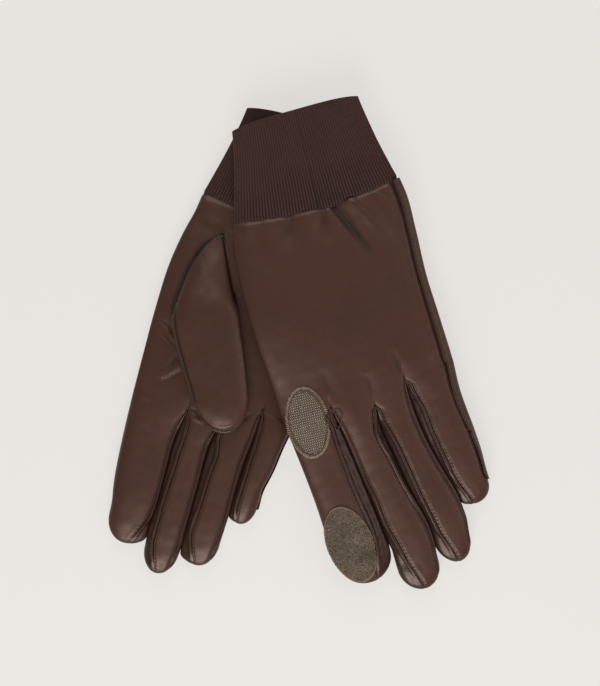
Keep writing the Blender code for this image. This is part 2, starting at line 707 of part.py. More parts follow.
def cut_out(target, points, faces):
    """Exact Boolean difference that is applied at once."""
    mesh = bpy.data.meshes.new("cutter")
    mesh.from_pydata([tuple(p) for p in points], [], faces)
    cutter = bpy.data.objects.new("cutter", mesh)
    bpy.context.collection.objects.link(cutter)
    cutter.hide_render = True
    cutter.display_type = "WIRE"
    body = bmesh.new()
    body.from_mesh(mesh)
    bmesh.ops.recalc_face_normals(body, faces=body.faces)
    body.to_mesh(mesh)
    body.free()
    bpy.context.view_layer.update()
    step = target.modifiers.new("opening", "BOOLEAN")
    step.operation = "DIFFERENCE"
    step.solver = "EXACT"
    step.object = cutter
    bpy.context.view_layer.update()
    result = bpy.data.meshes.new_from_object(target.evaluated_get(bpy.context.evaluated_depsgraph_get()))
    target.modifiers.clear()
    target.data = result
    result.name = target.name
    bpy.data.objects.remove(cutter)


# ---------------------------------------------------------------- hook and loop patches
PATCHES = {
    # centre (u, v), half length, half width, turn of the long axis in degrees
    "hook": ((-35.8, 106.1), 18.3, 10.7, -5.0),
    "loop": ((-30.4, 172.0), 20.2, 11.5, 7.0),
}


def patch_solid(glove, kind, surface):
    """Oval patch that lies on the back of the index finger."""
    centre, half_length, half_width, turn = PATCHES[kind]
    angle = math.radians(turn)
    rings = (0.0, 0.35, 0.6, 0.8, 0.92, 1.0)
    count = 28
    places = []
    for ring in rings:
        for k in range(count if ring else 1):
            a = 2.0 * math.pi * k / count
            across, forward = ring * half_width * math.cos(a), ring * half_length * math.sin(a)
            places.append((centre[0] + across * math.cos(angle) + forward * math.sin(angle),
                           centre[1] - across * math.sin(angle) + forward * math.cos(angle)))
    peak = rest_height(glove, centre[0], centre[1]) + FINGER_HALF
    points = []
    for u, v in places:
        slope = rest_height(glove, u, v) - rest_height(glove, centre[0], centre[1])
        points.append((u, v, max(surface(u, v), peak + slope - 2.0) + 0.75 + PATCH_THICK))
    faces = [(0, 1 + (k + 1) % count, 1 + k) for k in range(count)]
    for ring in range(len(rings) - 2):
        for k in range(count):
            a, b = 1 + ring * count + k, 1 + ring * count + (k + 1) % count
            faces.append((a, b, b + count, a + count))
    top = np.array(points)
    bottom = top - np.array([0.0, 0.0, PATCH_THICK])
    number = len(top)
    solid = [face[::-1] for face in faces] + [tuple(c + number for c in face) for face in faces]
    solid += [(b, a, a + number, b + number) for a, b in open_edges([f[::-1] for f in faces])]
    return np.concatenate([top, bottom]), solid


def surface_below(glove, points, faces, face):
    """Height of a panel's visible side at a plan place, by casting a ray on it from its own side."""
    tree = BVHTree.FromPolygons([Vector(p) for p in points], faces)
    middle = THUMB_CENTRE[glove["name"]][0]

    def height(u, v):
        for nudge in (0.0, 0.6, 1.2, 2.4):
            start = Vector((u + nudge if u < middle else u - nudge, v, face * 100.0))
            hit = tree.ray_cast(start, Vector((0.0, 0.0, -face)))[0]
            if hit is not None:
                return hit.z
        return float(rest_height(glove, u, v))
    return height


# ---------------------------------------------------------------- materials
def make_materials():
    return {
        "leather": material("brown_leather", (0.070, 0.036, 0.029), 0.42, 0.1),
        "sidewall": material("brown_leather_sidewall", (0.060, 0.030, 0.024), 0.45, 0.1),
        "knit": material("brown_rib_knit", (0.046, 0.022, 0.016), 0.9, 0.3),
        "hook": material("taupe_hook_tape", (0.240, 0.200, 0.155), 0.8),
        "loop": material("taupe_loop_tape", (0.175, 0.145, 0.110), 0.95, 0.4),
    }


# ---------------------------------------------------------------- assembly
def build_glove(glove, mats, body, thumb_body, tip_body):
    """All pieces of one glove; the thumb and the fold-back tip hang from their own empties."""
    name = glove["name"]
    back_face = 1 if glove["back_up"] else -1
    palm_face = -back_face
    fold = fold_reach() if glove["back_up"] else None
    half_gap = SEAM_GAP / 2.0

    def place(label, shape, mat, parent=body):
        points, faces = shape
        parts[label] = add_object(f"{name}_{label}", to_world(glove, points), faces, mats[mat], parent,
                                  parent.matrix_world.translation)

    parts = {}
    cut = fold - half_gap if fold else None
    back = panel(glove, back_face, back_face, cut)
    palm = panel(glove, palm_face, back_face, cut)
    place("back", back, "leather")
    place("palm", palm, "leather")
    place("cuff", cuff(glove), "knit")

    for ray in range(4):
        length = finger_length(glove, ray)
        for side, word in ((1, "little_side"), (-1, "index_side")):
            if (ray == 0 and side < 0) or (ray == 3 and side > 0):
                continue
            stop = length * (SIDE_STOP - 0.02)
            label = f"{FINGER_NAMES[ray]}_{word}_wall"
            if ray == 0 and fold:
                place(label, sidewall(glove, ray, side, GUSSET_REACH, fold - half_gap, 7), "sidewall")
                place("tip_wall", sidewall(glove, ray, side, fold + half_gap, stop, 8), "sidewall", tip_body)
            else:
                place(label, sidewall(glove, ray, side, GUSSET_REACH, stop), "sidewall")
    for ray, words in enumerate(("index_middle", "middle_ring", "ring_little")):
        place(f"{words}_gusset", gusset(glove, ray), "sidewall")

    if fold:
        tip_back = cap_panel(glove, 1, fold + half_gap)
        place("tip_back", tip_back, "leather", tip_body)
        place("tip_palm", cap_panel(glove, -1, fold + half_gap), "leather", tip_body)
        place("hook_patch", patch_solid(glove, "hook", surface_below(glove, *back, 1)), "hook")
        place("loop_patch", patch_solid(glove, "loop", surface_below(glove, *tip_back, 1)), "loop", tip_body)

    palm_surface = surface_below(glove, *palm, palm_face)
    place("thumb_root", thumb_hood(glove, palm_surface, -half_gap), "leather")
    place("thumb", thumb_tube(glove, half_gap), "leather", thumb_body)
    hole_points, hole_faces = thumb_hole(glove)
    cut_out(parts["palm"], to_world(glove, hole_points), hole_faces)
    return parts


def fold_reach():
    """Distance from the index finger's root line to the fold of its fold-back tip."""
    root_v, _, length, centre, _ = finger_spine(LEFT_HAND, 0)
    reach = FOLD_POINT[1] - root_v
    for _ in range(4):
        u = float(along(centre, reach))
        reach = FOLD_POINT[1] - FOLD_LEAN * (u - FOLD_POINT[0]) - root_v
    return reach


def fold_axis():
    """Point and direction of the fold-back axis, world metres."""
    reach = fold_reach()
    middle = finger_point(LEFT_HAND, 0, reach, 0.0, 1)
    middle[2] += FOLD_AXIS_LIFT
    u, v = middle[0] + 10.0 * math.cos(math.asin(FOLD_LEAN)), middle[1] - 10.0 * FOLD_LEAN
    rise = rest_height(LEFT_HAND, u, v) - rest_height(LEFT_HAND, middle[0], middle[1])
    ends = to_world(LEFT_HAND, np.array([middle, (u, v, middle[2] + rise)]))
    return ends[0], (ends[1] - ends[0]) / np.linalg.norm(ends[1] - ends[0])


def thumb_axis():
    """Point and direction of the right thumb's hinge line, world metres."""
    height = thumb_base(RIGHT_HAND, 0.0, 0.0) + THUMB_HEIGHT + 0.4
    ends = [(*thumb_plan(RIGHT_HAND, 0.0, x), height) for x in (0.0, 1.0)]
    ends = to_world(RIGHT_HAND, np.array(ends))
    return ends[0], (ends[1] - ends[0]) / np.linalg.norm(ends[1] - ends[0])


def main():
    for item in list(bpy.data.objects):
        bpy.data.objects.remove(item, do_unlink=True)
    mats = make_materials()
    right_body = add_empty("right_glove_frame", (0.0, 0.0, 0.0))
    left_body = add_empty("left_glove_frame", (0.0, 0.0, 0.0))
    thumb_body = add_empty("right_thumb_axis", thumb_axis()[0], right_body)
    tip_body = add_empty("left_index_fold_axis", fold_axis()[0], left_body)
    bpy.context.view_layer.update()
    build_glove(RIGHT_HAND, mats, right_body, thumb_body, None)
    build_glove(LEFT_HAND, mats, left_body, left_body, tip_body)


main()
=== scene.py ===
"""Looks of a pair of women's leather gloves with rib-knit cuffs and a fold-back fingertip.

Each piece made here is finished leather, knit or tape that stands for one or more CAD parts; a piece
on one body rides on it, and one given bend points only has its transform baked.  Shapes are worked out
in each glove's own frame in millimetres: u runs across towards the little finger, v from the wrist seam
towards the fingertips and w up.
"""

import json
import math

import bpy
import numpy as np
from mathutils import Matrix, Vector
from mathutils.bvhtree import BVHTree


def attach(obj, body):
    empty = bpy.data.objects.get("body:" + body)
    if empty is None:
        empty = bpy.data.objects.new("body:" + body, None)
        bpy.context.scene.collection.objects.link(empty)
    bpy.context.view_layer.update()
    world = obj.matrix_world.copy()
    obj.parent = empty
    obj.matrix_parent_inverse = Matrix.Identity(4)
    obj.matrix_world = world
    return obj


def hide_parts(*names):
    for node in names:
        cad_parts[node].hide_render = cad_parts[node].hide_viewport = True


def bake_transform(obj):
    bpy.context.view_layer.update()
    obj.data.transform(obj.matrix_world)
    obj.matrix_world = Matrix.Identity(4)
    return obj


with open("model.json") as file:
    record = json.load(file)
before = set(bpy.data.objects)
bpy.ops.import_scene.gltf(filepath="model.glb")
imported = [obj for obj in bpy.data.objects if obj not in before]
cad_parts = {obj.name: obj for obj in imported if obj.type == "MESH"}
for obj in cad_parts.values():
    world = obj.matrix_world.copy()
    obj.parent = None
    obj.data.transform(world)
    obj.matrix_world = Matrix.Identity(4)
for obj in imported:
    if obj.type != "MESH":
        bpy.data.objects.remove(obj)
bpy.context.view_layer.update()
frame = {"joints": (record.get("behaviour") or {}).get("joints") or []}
MM = 0.001

# ---- the gloves' dimensions, mm
LEATHER = 0.9
SIDEWALL = 0.8
KNIT = 1.5
REST_FLAT = 4.6
PALM_HALF = 5.0
PRESSED_HALF = 3.2
FINGER_HALF = 4.9
CAP_LENGTH = 13.0
TIP_TAPER = 0.24
CUFF_LENGTH = {"left": 48.0, "right": 50.5}
CUFF_NARROWING = 10.1
RIBS_PER_SIDE = 57
POINTS_PER_RIB = 8
RIB_DEPTH = 0.60
KNIT_ROW = 0.95
THUMB_HEIGHT = 8.6
TUCKED_THUMB_HEIGHT = 4.6
FOLD_LEAN = 0.061
FOLD_POINT = (-33.1, 139.0)
FOLD_SPAN = 4.5
INDEX_BACK_START = 5.0
WALL_START = 0.25
THUMB_BEND = (-11.0, 9.0)
STITCH_PITCH = 2.0
STITCH_LENGTH = 1.3
STITCH_RADIUS = 0.13
STITCH_INSET = 1.15
SEAM_EDGE = 0.62

LEFT_HAND = {
    "name": "left",
    "origin": (10.2, 71.1),
    "turn": 15.7,
    "back_up": True,
    "index_side": ((0.0, -44.6), (12.0, -47.3), (26.0, -48.8), (48.0, -49.5), (66.0, -49.2),
                   (82.0, -48.1), (101.0, -47.4)),
    "little_side": ((0.0, 42.7), (7.0, 43.7), (26.0, 43.5), (50.0, 42.5), (71.0, 43.1), (96.0, 43.8)),
    "crotches": ((-21.9, 102.4), (0.0, 107.5), (17.9, 98.3)),
    "fingers": {
        "index": (((122.0, -32.2, 12.8), (145.0, -29.6, 13.3), (168.0, -27.7, 14.0)), (194.0, -25.4)),
        "middle": (((118.0, -9.8, 9.1), (137.0, -6.9, 9.5), (150.0, -5.1, 9.7), (166.0, -2.5, 10.6),
                    (184.0, 0.2, 11.0)), (204.8, 0.9)),
        "ring": (((119.0, 9.6, 8.9), (140.0, 12.9, 9.2), (154.0, 16.1, 9.8), (168.0, 19.5, 9.8),
                  (182.0, 21.5, 9.5)), (196.0, 21.5)),
        "little": (((110.0, 31.1, 12.2), (135.0, 33.8, 11.3), (150.0, 36.0, 10.0), (160.0, 37.4, 8.8)),
                   (169.5, 38.0)),
    },
}
RIGHT_HAND = {
    "name": "right",
    "origin": (-7.65, 65.0),
    "turn": -14.3,
    "back_up": False,
    "index_side": ((0.0, -43.0), (8.0, -44.3), (20.5, -47.5), (39.0, -50.7), (58.0, -51.8),
                   (90.0, -52.2), (108.0, -52.3)),
    "little_side": ((0.0, 42.8), (25.0, 43.0), (50.0, 41.5), (75.0, 38.0), (95.0, 33.6), (103.0, 31.6)),
    "crotches": ((-22.9, 109.5), (-5.9, 113.5), (14.5, 99.5)),
    "fingers": {
        "index": (((126.0, -39.1, 12.9), (144.0, -38.8, 12.5), (160.0, -38.2, 11.9), (174.0, -37.9, 10.9)),
                  (182.8, -37.8)),
        "middle": (((126.0, -16.8, 8.3), (142.0, -17.0, 8.5), (160.0, -17.5, 8.7), (176.0, -18.3, 9.2)),
                   (193.8, -18.3)),
        "ring": (((126.0, 2.2, 9.4), (140.0, 1.6, 9.4), (156.0, 1.3, 9.6), (170.0, 0.9, 9.4)), (184.8, 0.6)),
        "little": (((115.0, 21.4, 7.5), (126.0, 20.1, 7.2), (140.0, 18.0, 6.4)), (158.8, 16.8)),
    },
}
FINGERS_FROM = 90.0
HAND_LENGTH = 104.0
DRAPE_FALL = -0.0715
DRAPE_LEVEL = ((-50.0, 9.3), (0.0, 9.5), (25.0, 10.2), (50.0, 10.3), (72.0, 9.6), (FINGERS_FROM, 8.6))
DRAPE_TILT = ((-50.0, 0.0), (0.0, -0.015), (25.0, -0.055), (50.0, -0.085), (72.0, -0.065),
              (FINGERS_FROM, -0.03))
FINGER_NAMES = ("index", "middle", "ring", "little")

# Sidewall seams: (v, inset in mm from the finger's edge) on the little and the index side, and x at the tip.
SEAM_INSET = {
    "left": {
        "index": (((113.0, 4.6), (121.0, 5.2), (139.0, 6.3), (170.0, 5.9), (182.0, 6.4)), None),
        "middle": (((110.0, 1.8), (122.0, 3.5), (134.0, 3.3), (146.0, 2.8), (158.0, 2.2), (170.0, 1.5),
                    (180.0, 1.1)),
                   ((114.0, 0.8), (136.0, 0.9), (152.0, 2.3), (167.0, 2.4), (179.0, 3.8), (187.0, 4.6))),
        "ring": (((105.0, 0.7), (160.0, 0.8)),
                 ((112.0, 1.8), (126.0, 3.8), (138.0, 4.3), (151.0, 3.9), (167.0, 3.1), (175.0, 3.0))),
        "little": (None,
                   ((104.0, 2.6), (113.0, 4.2), (127.0, 3.9), (142.0, 3.5), (155.0, 2.4), (164.0, 2.1))),
    },
    "right": {
        "index": (((115.0, 0.9), (160.0, 1.1), (174.0, 2.2)), None),
        "middle": (((118.0, 0.8), (175.0, 1.2)),
                   ((113.0, 2.6), (121.0, 4.2), (134.0, 4.1), (146.0, 3.6), (158.0, 3.3), (174.0, 4.4))),
        "ring": (((103.0, 1.0), (114.0, 1.4), (141.0, 1.6), (154.0, 1.6)),
                 ((117.0, 3.6), (127.0, 5.2), (138.0, 4.6), (147.0, 4.5), (156.0, 4.2), (166.0, 3.2),
                  (175.0, 3.1))),
        "little": (None,
                   ((101.0, 1.4), (112.0, 1.8), (125.0, 2.4), (136.0, 2.8), (146.0, 3.1), (152.0, 3.0))),
    },
}
TIP_SEAM = {"index": (0.30, 1.0), "middle": (0.72, 0.16), "ring": (0.74, 0.20), "little": (1.0, 0.34)}
OUTER_SEAM_INSET = 3.2
SEAM_FADE = 12.0
# How round each fingertip is on its index and its little side; one beside a longer finger is squarer.
TIP_ROUND = {
    "left": {"index": (1.0, 1.0), "middle": (1.0, 1.0), "ring": (1.0, 1.0), "little": (0.35, 0.7)},
    "right": {"index": (1.0, 0.5), "middle": (1.0, 1.0), "ring": (0.35, 1.0), "little": (0.2, 0.8)},
}

# Teardrop loop of turned leather at the top of the left index finger's sidewall.
LOOP_CENTRE = (-20.7, 108.6)
LOOP_LENGTH = 5.4
LOOP_WIDTH = 2.5
LOOP_LEAN = -15.5
LOOP_DROP = 1.8
LOOP_RADIUS = 0.46

# v at which each gap between two fingers opens: the fingers touch up to here.
NOTCHES = {"left": (180.5, 184.6, 166.5), "right": (177.9, 180.9, 157.5)}

THUMB_CENTRE = {"right": (-24.5, 59.0), "left": (-16.0, 61.5)}
THUMB_DIRECTION = {"right": (0.380, 0.925), "left": (0.450, 0.893)}
# Distance from the hinge, offset across and half width.
THUMB_WIDTHS = ((0.0, -1.5, 17.4), (14.0, -1.2, 17.0), (26.0, -0.5, 16.1), (38.0, 0.1, 15.3),
                (48.0, 0.3, 15.0), (61.0, 1.2, 14.0))
THUMB_LENGTH = 61.0
HOOD_LENGTH = 39.9
THUMB_CAP = 16.0
THUMB_STRIP = 1.9
# Rows behind and ahead of the hinge, columns across, and where the strip's stitches run in them.
HOOD_ROWS = 56
THUMB_ROWS = 92
THUMB_COLUMNS = 61
STRIP_STITCH_GAP = 0.9
STRIP_STITCH_ROW = 100
STRIP_STITCH_ROWS = slice(62, -22)

# Folds in the leather: points of the fold (u, v), half width and height; valleys are negative.
BACK_FOLDS = (
    (((-16.5, 3.4), (-18.7, 11.7), (-23.2, 22.0)), 3.0, -0.45),
    (((-27.5, 3.0), (-30.5, 12.0), (-33.5, 20.0)), 4.5, 0.45),
    (((-38.6, 3.0), (-40.6, 18.0)), 3.0, 0.25),
    (((-6.8, 3.4), (-10.5, 16.5), (-15.5, 30.0)), 5.0, 0.60),
    (((1.4, 3.4), (-0.8, 12.0), (-4.5, 26.0)), 2.8, -0.50),
    (((6.6, 3.2), (12.5, 15.7), (22.0, 40.0)), 2.2, -1.25),
    (((16.0, 3.4), (24.5, 17.2), (36.0, 40.0)), 3.6, 1.00),
    (((9.4, 3.2), (15.6, 15.0)), 0.9, -0.50),
    (((29.4, 4.0), (33.8, 9.0)), 0.9, 0.30),
    (((32.4, 3.0), (36.4, 8.0)), 0.8, -0.30),
    (((38.6, 0.6), (39.4, 24.0)), 2.2, -0.35),
    (((-21.5, 82.0), (-18.9, 100.0)), 3.4, -0.35),
    (((0.6, 90.0), (-0.4, 105.0)), 2.8, -0.40),
    (((15.6, 82.0), (17.4, 97.0)), 2.6, -0.45),
    (((-11.0, 92.0), (-10.4, 122.0)), 5.0, 0.25),
    (((26.0, 84.0), (28.0, 112.0)), 6.0, 0.25),
)
PALM_FOLDS = (
    (((-41.0, 3.4), (-33.0, 7.0), (-25.5, 8.5)), 4.4, 0.55),
    (((-42.0, 13.5), (-35.0, 14.6), (-27.0, 14.5)), 4.0, -0.40),
    (((-47.3, 66.4), (-42.0, 70.0), (-36.0, 75.0)), 1.1, -0.80),
    (((-47.6, 72.2), (-41.5, 75.5), (-36.0, 80.0)), 1.0, -0.60),
    (((-46.0, 69.4), (-37.0, 77.0)), 0.9, 0.55),
    (((-38.8, 94.4), (-35.9, 88.0), (-34.0, 81.0)), 1.1, -0.80),
    (((-40.6, 96.2), (-36.0, 90.5), (-32.2, 85.0)), 1.4, 0.70),
    (((-39.6, 98.6), (-34.5, 94.0), (-30.4, 89.0)), 1.1, -0.60),
    (((-24.4, 14.6), (-18.2, 19.8)), 1.0, 0.50),
    (((-23.9, 107.6), (-15.0, 108.4)), 0.9, -0.45),
    (((-22.4, 110.6), (-12.4, 112.6)), 1.0, 0.45),
    (((4.0, 108.5), (11.5, 100.5)), 1.1, -0.35),
)


# ---- small mathematics
def smooth(low, high, value):
    """Smooth step from 0 at low to 1 at high."""
    step = np.clip((np.asarray(value, float) - low) / (high - low), 0.0, 1.0)
    return step * step * (3.0 - 2.0 * step)


def along(points, value):
    """Smooth curve through (place, value) points, level beyond the ends."""
    places = np.array([p[0] for p in points], float)
    values = np.array([p[1] for p in points], float)
    slopes = np.gradient(values, places)
    spot = np.asarray(value, float)
    cell = np.clip(np.searchsorted(places, spot) - 1, 0, len(places) - 2)
    width = places[cell + 1] - places[cell]
    t = np.clip((spot - places[cell]) / width, 0.0, 1.0)
    rise = (2 * t ** 3 - 3 * t ** 2 + 1) * values[cell] + (t ** 3 - 2 * t ** 2 + t) * width * slopes[cell]
    return rise + (3 * t ** 2 - 2 * t ** 3) * values[cell + 1] + (t ** 3 - t ** 2) * width * slopes[cell + 1]


def crown(x, power):
    """Height of a superellipse of the given power at x, from 1 at the middle to 0 at the edge."""
    return (1.0 - np.clip(np.abs(x), 0.0, 1.0) ** power) ** (1.0 / power)


def bell(distance, width):
    return np.exp(-(distance / width) ** 2)


def waves(u, v, length, seed, count=9):
    """Irregular smooth waves, mostly within -1 to 1, about length mm from crest to crest."""
    rng = np.random.default_rng(seed)
    total = 0.0
    for _ in range(count):
        angle, phase = rng.uniform(0.0, 2.0 * math.pi, 2)
        pitch = 2.0 * math.pi / (length * rng.uniform(0.65, 1.6))
        total = total + np.sin((u * math.cos(angle) + v * math.sin(angle)) * pitch + phase)
    return total / math.sqrt(count * 1.6)


def fold_lift(folds, u, v):
    """Height that folds add at each place; folds from the wrist fade out, others fade at both ends."""
    total = np.zeros(np.broadcast(u, v).shape)
    for points, width, height in folds:
        best = np.full(total.shape, 1e9)
        run = np.zeros(total.shape)
        for number, (start, end) in enumerate(zip(points, points[1:])):
            du, dv = end[0] - start[0], end[1] - start[1]
            raw = ((u - start[0]) * du + (v - start[1]) * dv) / (du * du + dv * dv)
            t = np.clip(raw, 0.0, 1.0)
            gap = np.hypot(u - start[0] - t * du, v - start[1] - t * dv)
            nearer = gap < best
            best = np.where(nearer, gap, best)
            run = np.where(nearer, (number + t) / (len(points) - 1), run)
        if points[0][1] < 6.5:
            total += height * bell(best, width * (0.75 + 0.8 * run)) * (1.0 - smooth(0.40, 1.0, run))
        else:
            total += height * bell(best, width) * np.sin(np.clip(run, 0.0, 1.0) * math.pi) ** 0.8
    return total


# ---- one glove's surface
def rest_height(glove, u, v):
    """Height of the glove's mid surface above the table."""
    if not glove["back_up"]:
        return REST_FLAT + 0.0 * u
    level = along(DRAPE_LEVEL, v) + DRAPE_FALL * np.maximum(v - FINGERS_FROM, 0.0)
    return level + along(DRAPE_TILT, v) * u + FINGER_HALF


def hand_half(glove, u, v, face, free=0.0):
    """Half thickness of the hand, rounded at its two edges; free is 1 where the fingers have left it."""
    left, right = along(glove["index_side"], v), along(glove["little_side"], v)
    edge = crown((2.0 * u - left - right) / (right - left), 3.0) * (1.0 - free) + free
    swell = 0.86 + 0.14 * smooth(0.0, 30.0, v)
    if glove["back_up"]:
        return FINGER_HALF * swell * edge
    if face < 0:
        return (REST_FLAT + 0.5) * swell * edge
    pressed = smooth(-14.0, 10.0, u) * (1.0 - smooth(85.0, 115.0, v))
    return (PALM_HALF + (PRESSED_HALF - PALM_HALF) * pressed) * swell * edge


def lift(glove, u, v, half, face):
    """Height of the surface above the table, flattened where the glove rests."""
    if face < 0 and not glove["back_up"]:
        half = np.minimum(half, REST_FLAT)
    return rest_height(glove, u, v) + face * half


def wrist_line(u):
    """v of the wrist seam, bowed a little towards the fingers."""
    return 3.2 - 0.0024 * u * u


def ray_edges(glove, ray):
    """Wrist and crotch points at the two edges of one of the hand's four strips."""
    index_end = glove["index_side"][-1]
    little_end = glove["little_side"][-1]
    tops = ((index_end[1], index_end[0]),) + glove["crotches"] + ((little_end[1], little_end[0]),)
    wrist = np.linspace(glove["index_side"][0][1], glove["little_side"][0][1], 5)
    return (wrist[ray], tops[ray]), (wrist[ray + 1], tops[ray + 1])


def finger_share(reach):
    """0 in the hand and 1 on a free finger; reach is in mm from the finger's root line."""
    return smooth(-10.0, 14.0, reach)


def side_round(ray, x, free):
    """Rounding towards the edges of a strip: full on a finger, none inside the hand."""
    edge = crown(x, 2.4)
    inner = 1.0 - free + free * edge
    outer = np.where(free > 0.0, edge ** np.clip(4.0 * free, 0.0, 1.0), 1.0)
    outer_side = ((ray == 0) & (np.asarray(x) < 0.0)) | ((ray == 3) & (np.asarray(x) > 0.0))
    return np.where(outer_side, outer, inner)


def hand_point(glove, ray, s, x, face):
    """Point of the hand: s from wrist to crotches, x from -1 to 1 across the strip."""
    edges = []
    for side, (wrist_u, top) in enumerate(ray_edges(glove, ray)):
        v = wrist_line(wrist_u) + (top[1] - wrist_line(wrist_u)) * s
        if ray + side == 0:
            u = along(glove["index_side"], v)
        elif ray + side == 4:
            u = along(glove["little_side"], v)
        else:
            u = wrist_u + (top[0] - wrist_u) * s
        edges.append((u, v))
    mix = (np.asarray(x) + 1.0) * 0.5
    u = edges[0][0] * (1.0 - mix) + edges[1][0] * mix
    v = edges[0][1] * (1.0 - mix) + edges[1][1] * mix
    free = finger_share((s - 1.0) * HAND_LENGTH)
    half = hand_half(glove, u, v, face, free) * side_round(ray, x, free)
    return np.stack([u, v, lift(glove, u, v, half, face)], -1)


def finger_spine(glove, ray):
    """Curves of a finger: centre v, centre u and half width against distance from its root."""
    (_, left_top), (_, right_top) = ray_edges(glove, ray)
    stations, tip = glove["fingers"][FINGER_NAMES[ray]]
    root_v = 0.5 * (left_top[1] + right_top[1])
    root_u = 0.5 * (left_top[0] + right_top[0])
    root_half = 0.5 * math.hypot(right_top[0] - left_top[0], right_top[1] - left_top[1])
    root_tilt = math.atan2(left_top[1] - right_top[1], right_top[0] - left_top[0])
    length = tip[0] - root_v
    centre = ((0.0, root_u),) + tuple((s[0] - root_v, s[1]) for s in stations) + ((length, tip[1]),)
    width = ((0.0, root_half),) + tuple((s[0] - root_v, s[2]) for s in stations)
    width += ((length, stations[-1][2] * 0.98),)
    return root_v, root_tilt, length, centre, width


def finger_lean(glove, ray):
    """Direction of a finger's cross sections, as the sine of their tilt."""
    if ray == 0 and glove["back_up"]:
        return FOLD_LEAN
    stations, tip = glove["fingers"][FINGER_NAMES[ray]]
    return (tip[1] - stations[0][1]) / (tip[0] - stations[0][0])


def finger_point(glove, ray, reach, x, face):
    """Point of a finger: reach in mm from its root line, x from -1 to 1 across it."""
    root_v, root_tilt, length, centre, width = finger_spine(glove, ray)
    reach = np.asarray(reach, float)
    x = np.asarray(x, float)
    u = along(centre, reach)
    half_width = along(width, reach)
    turn = smooth(0.0, 22.0, reach)
    tilt = root_tilt * (1.0 - turn) + math.asin(finger_lean(glove, ray)) * turn
    bow = CAP_LENGTH * smooth(length * 0.5, length, reach) * (1.0 - np.sqrt(np.clip(1.0 - x * x, 0.0, 1.0)))
    index_side, little_side = TIP_ROUND[glove["name"]][FINGER_NAMES[ray]]
    bow = bow * np.where(x < 0.0, index_side, little_side)
    pu = u + x * half_width * np.cos(tilt) - bow * np.sin(tilt)
    pv = root_v + reach - x * half_width * np.sin(tilt) - bow * np.cos(tilt)
    free = finger_share(reach)
    hand = hand_half(glove, pu, pv, face, free)
    finger = FINGER_HALF + (0.4 if glove["back_up"] else 0.3) * smooth(0.3, 0.8, reach / length)
    tip = crown(np.clip((reach - (length - CAP_LENGTH)) / CAP_LENGTH, 0.0, 1.0), 2.2)
    if face > 0:
        tip = tip * (1.0 - TIP_TAPER * (1.0 - smooth(0.0, 2.0 * CAP_LENGTH, length - reach)))
    half = (hand * (1.0 - free) + finger * free) * side_round(ray, x, free) * tip
    return np.stack([pu, pv, lift(glove, pu, pv, half, face)], -1)


def finger_length(glove, ray):
    return finger_spine(glove, ray)[2]


def half_width(glove, ray, reach):
    """Half width of a finger's strip; reach is negative in the hand."""
    return along(finger_spine(glove, ray)[4], np.maximum(reach, 0.0))


def seam_inset(glove, ray, side, reach):
    """Width of the sidewall that shows beside a finger's leather."""
    table = SEAM_INSET[glove["name"]][FINGER_NAMES[ray]][0 if side > 0 else 1]
    return along(table, finger_spine(glove, ray)[0] + reach) * smooth(-0.6, 4.0, reach)


def seam_place(glove, ray, side, reach):
    """x of the sidewall seam on a finger, which runs round to the tip."""
    place = 1.0 - seam_inset(glove, ray, side, reach) / half_width(glove, ray, reach)
    turn = smooth(0.80, 1.0, reach / finger_length(glove, ray))
    return side * (place * (1.0 - turn) + TIP_SEAM[FINGER_NAMES[ray]][0 if side > 0 else 1] * turn)


def outer_seam_place(glove, reach):
    """x of the seam along the little finger side, on the back of the glove."""
    length = finger_length(glove, 3)
    inset = OUTER_SEAM_INSET * (1.0 - 0.55 * smooth(0.2, 0.75, np.maximum(reach, 0.0) / length))
    inset = inset * smooth(0.0, SEAM_FADE, length - reach)
    width = np.where(np.asarray(reach) < 0.0, 11.0, half_width(glove, 3, reach))
    return 1.0 - inset / width


# ---- sheets to closed meshes
def to_world(glove, points):
    """Glove frame in mm to world metres."""
    angle = math.radians(glove["turn"])
    u, v, w = points[..., 0], points[..., 1], points[..., 2]
    x = glove["origin"][0] + u * math.cos(angle) + v * math.sin(angle)
    y = glove["origin"][1] + u * math.sin(angle) - v * math.cos(angle)
    return np.stack([x, y, np.maximum(w, 0.0)], -1) * MM


def normals_of(points, faces):
    """Unit normals of a mesh's vertices, from faces of four corners."""
    corner = points[faces]
    area = np.cross(corner[:, 2] - corner[:, 0], corner[:, 3] - corner[:, 1])
    normals = np.zeros_like(points)
    for k in range(4):
        np.add.at(normals, faces[:, k], area)
    size = np.linalg.norm(normals, axis=1, keepdims=True)
    return normals / np.where(size > 1e-12, size, 1.0)


def quads(numbers, closed=False):
    """Faces between the rows and columns of a table of vertex numbers."""
    if closed:
        numbers = np.concatenate([numbers, numbers[:, :1]], 1)
    corners = [numbers[:-1, :-1], numbers[:-1, 1:], numbers[1:, 1:], numbers[1:, :-1]]
    return np.stack(corners, -1).reshape(-1, 4)


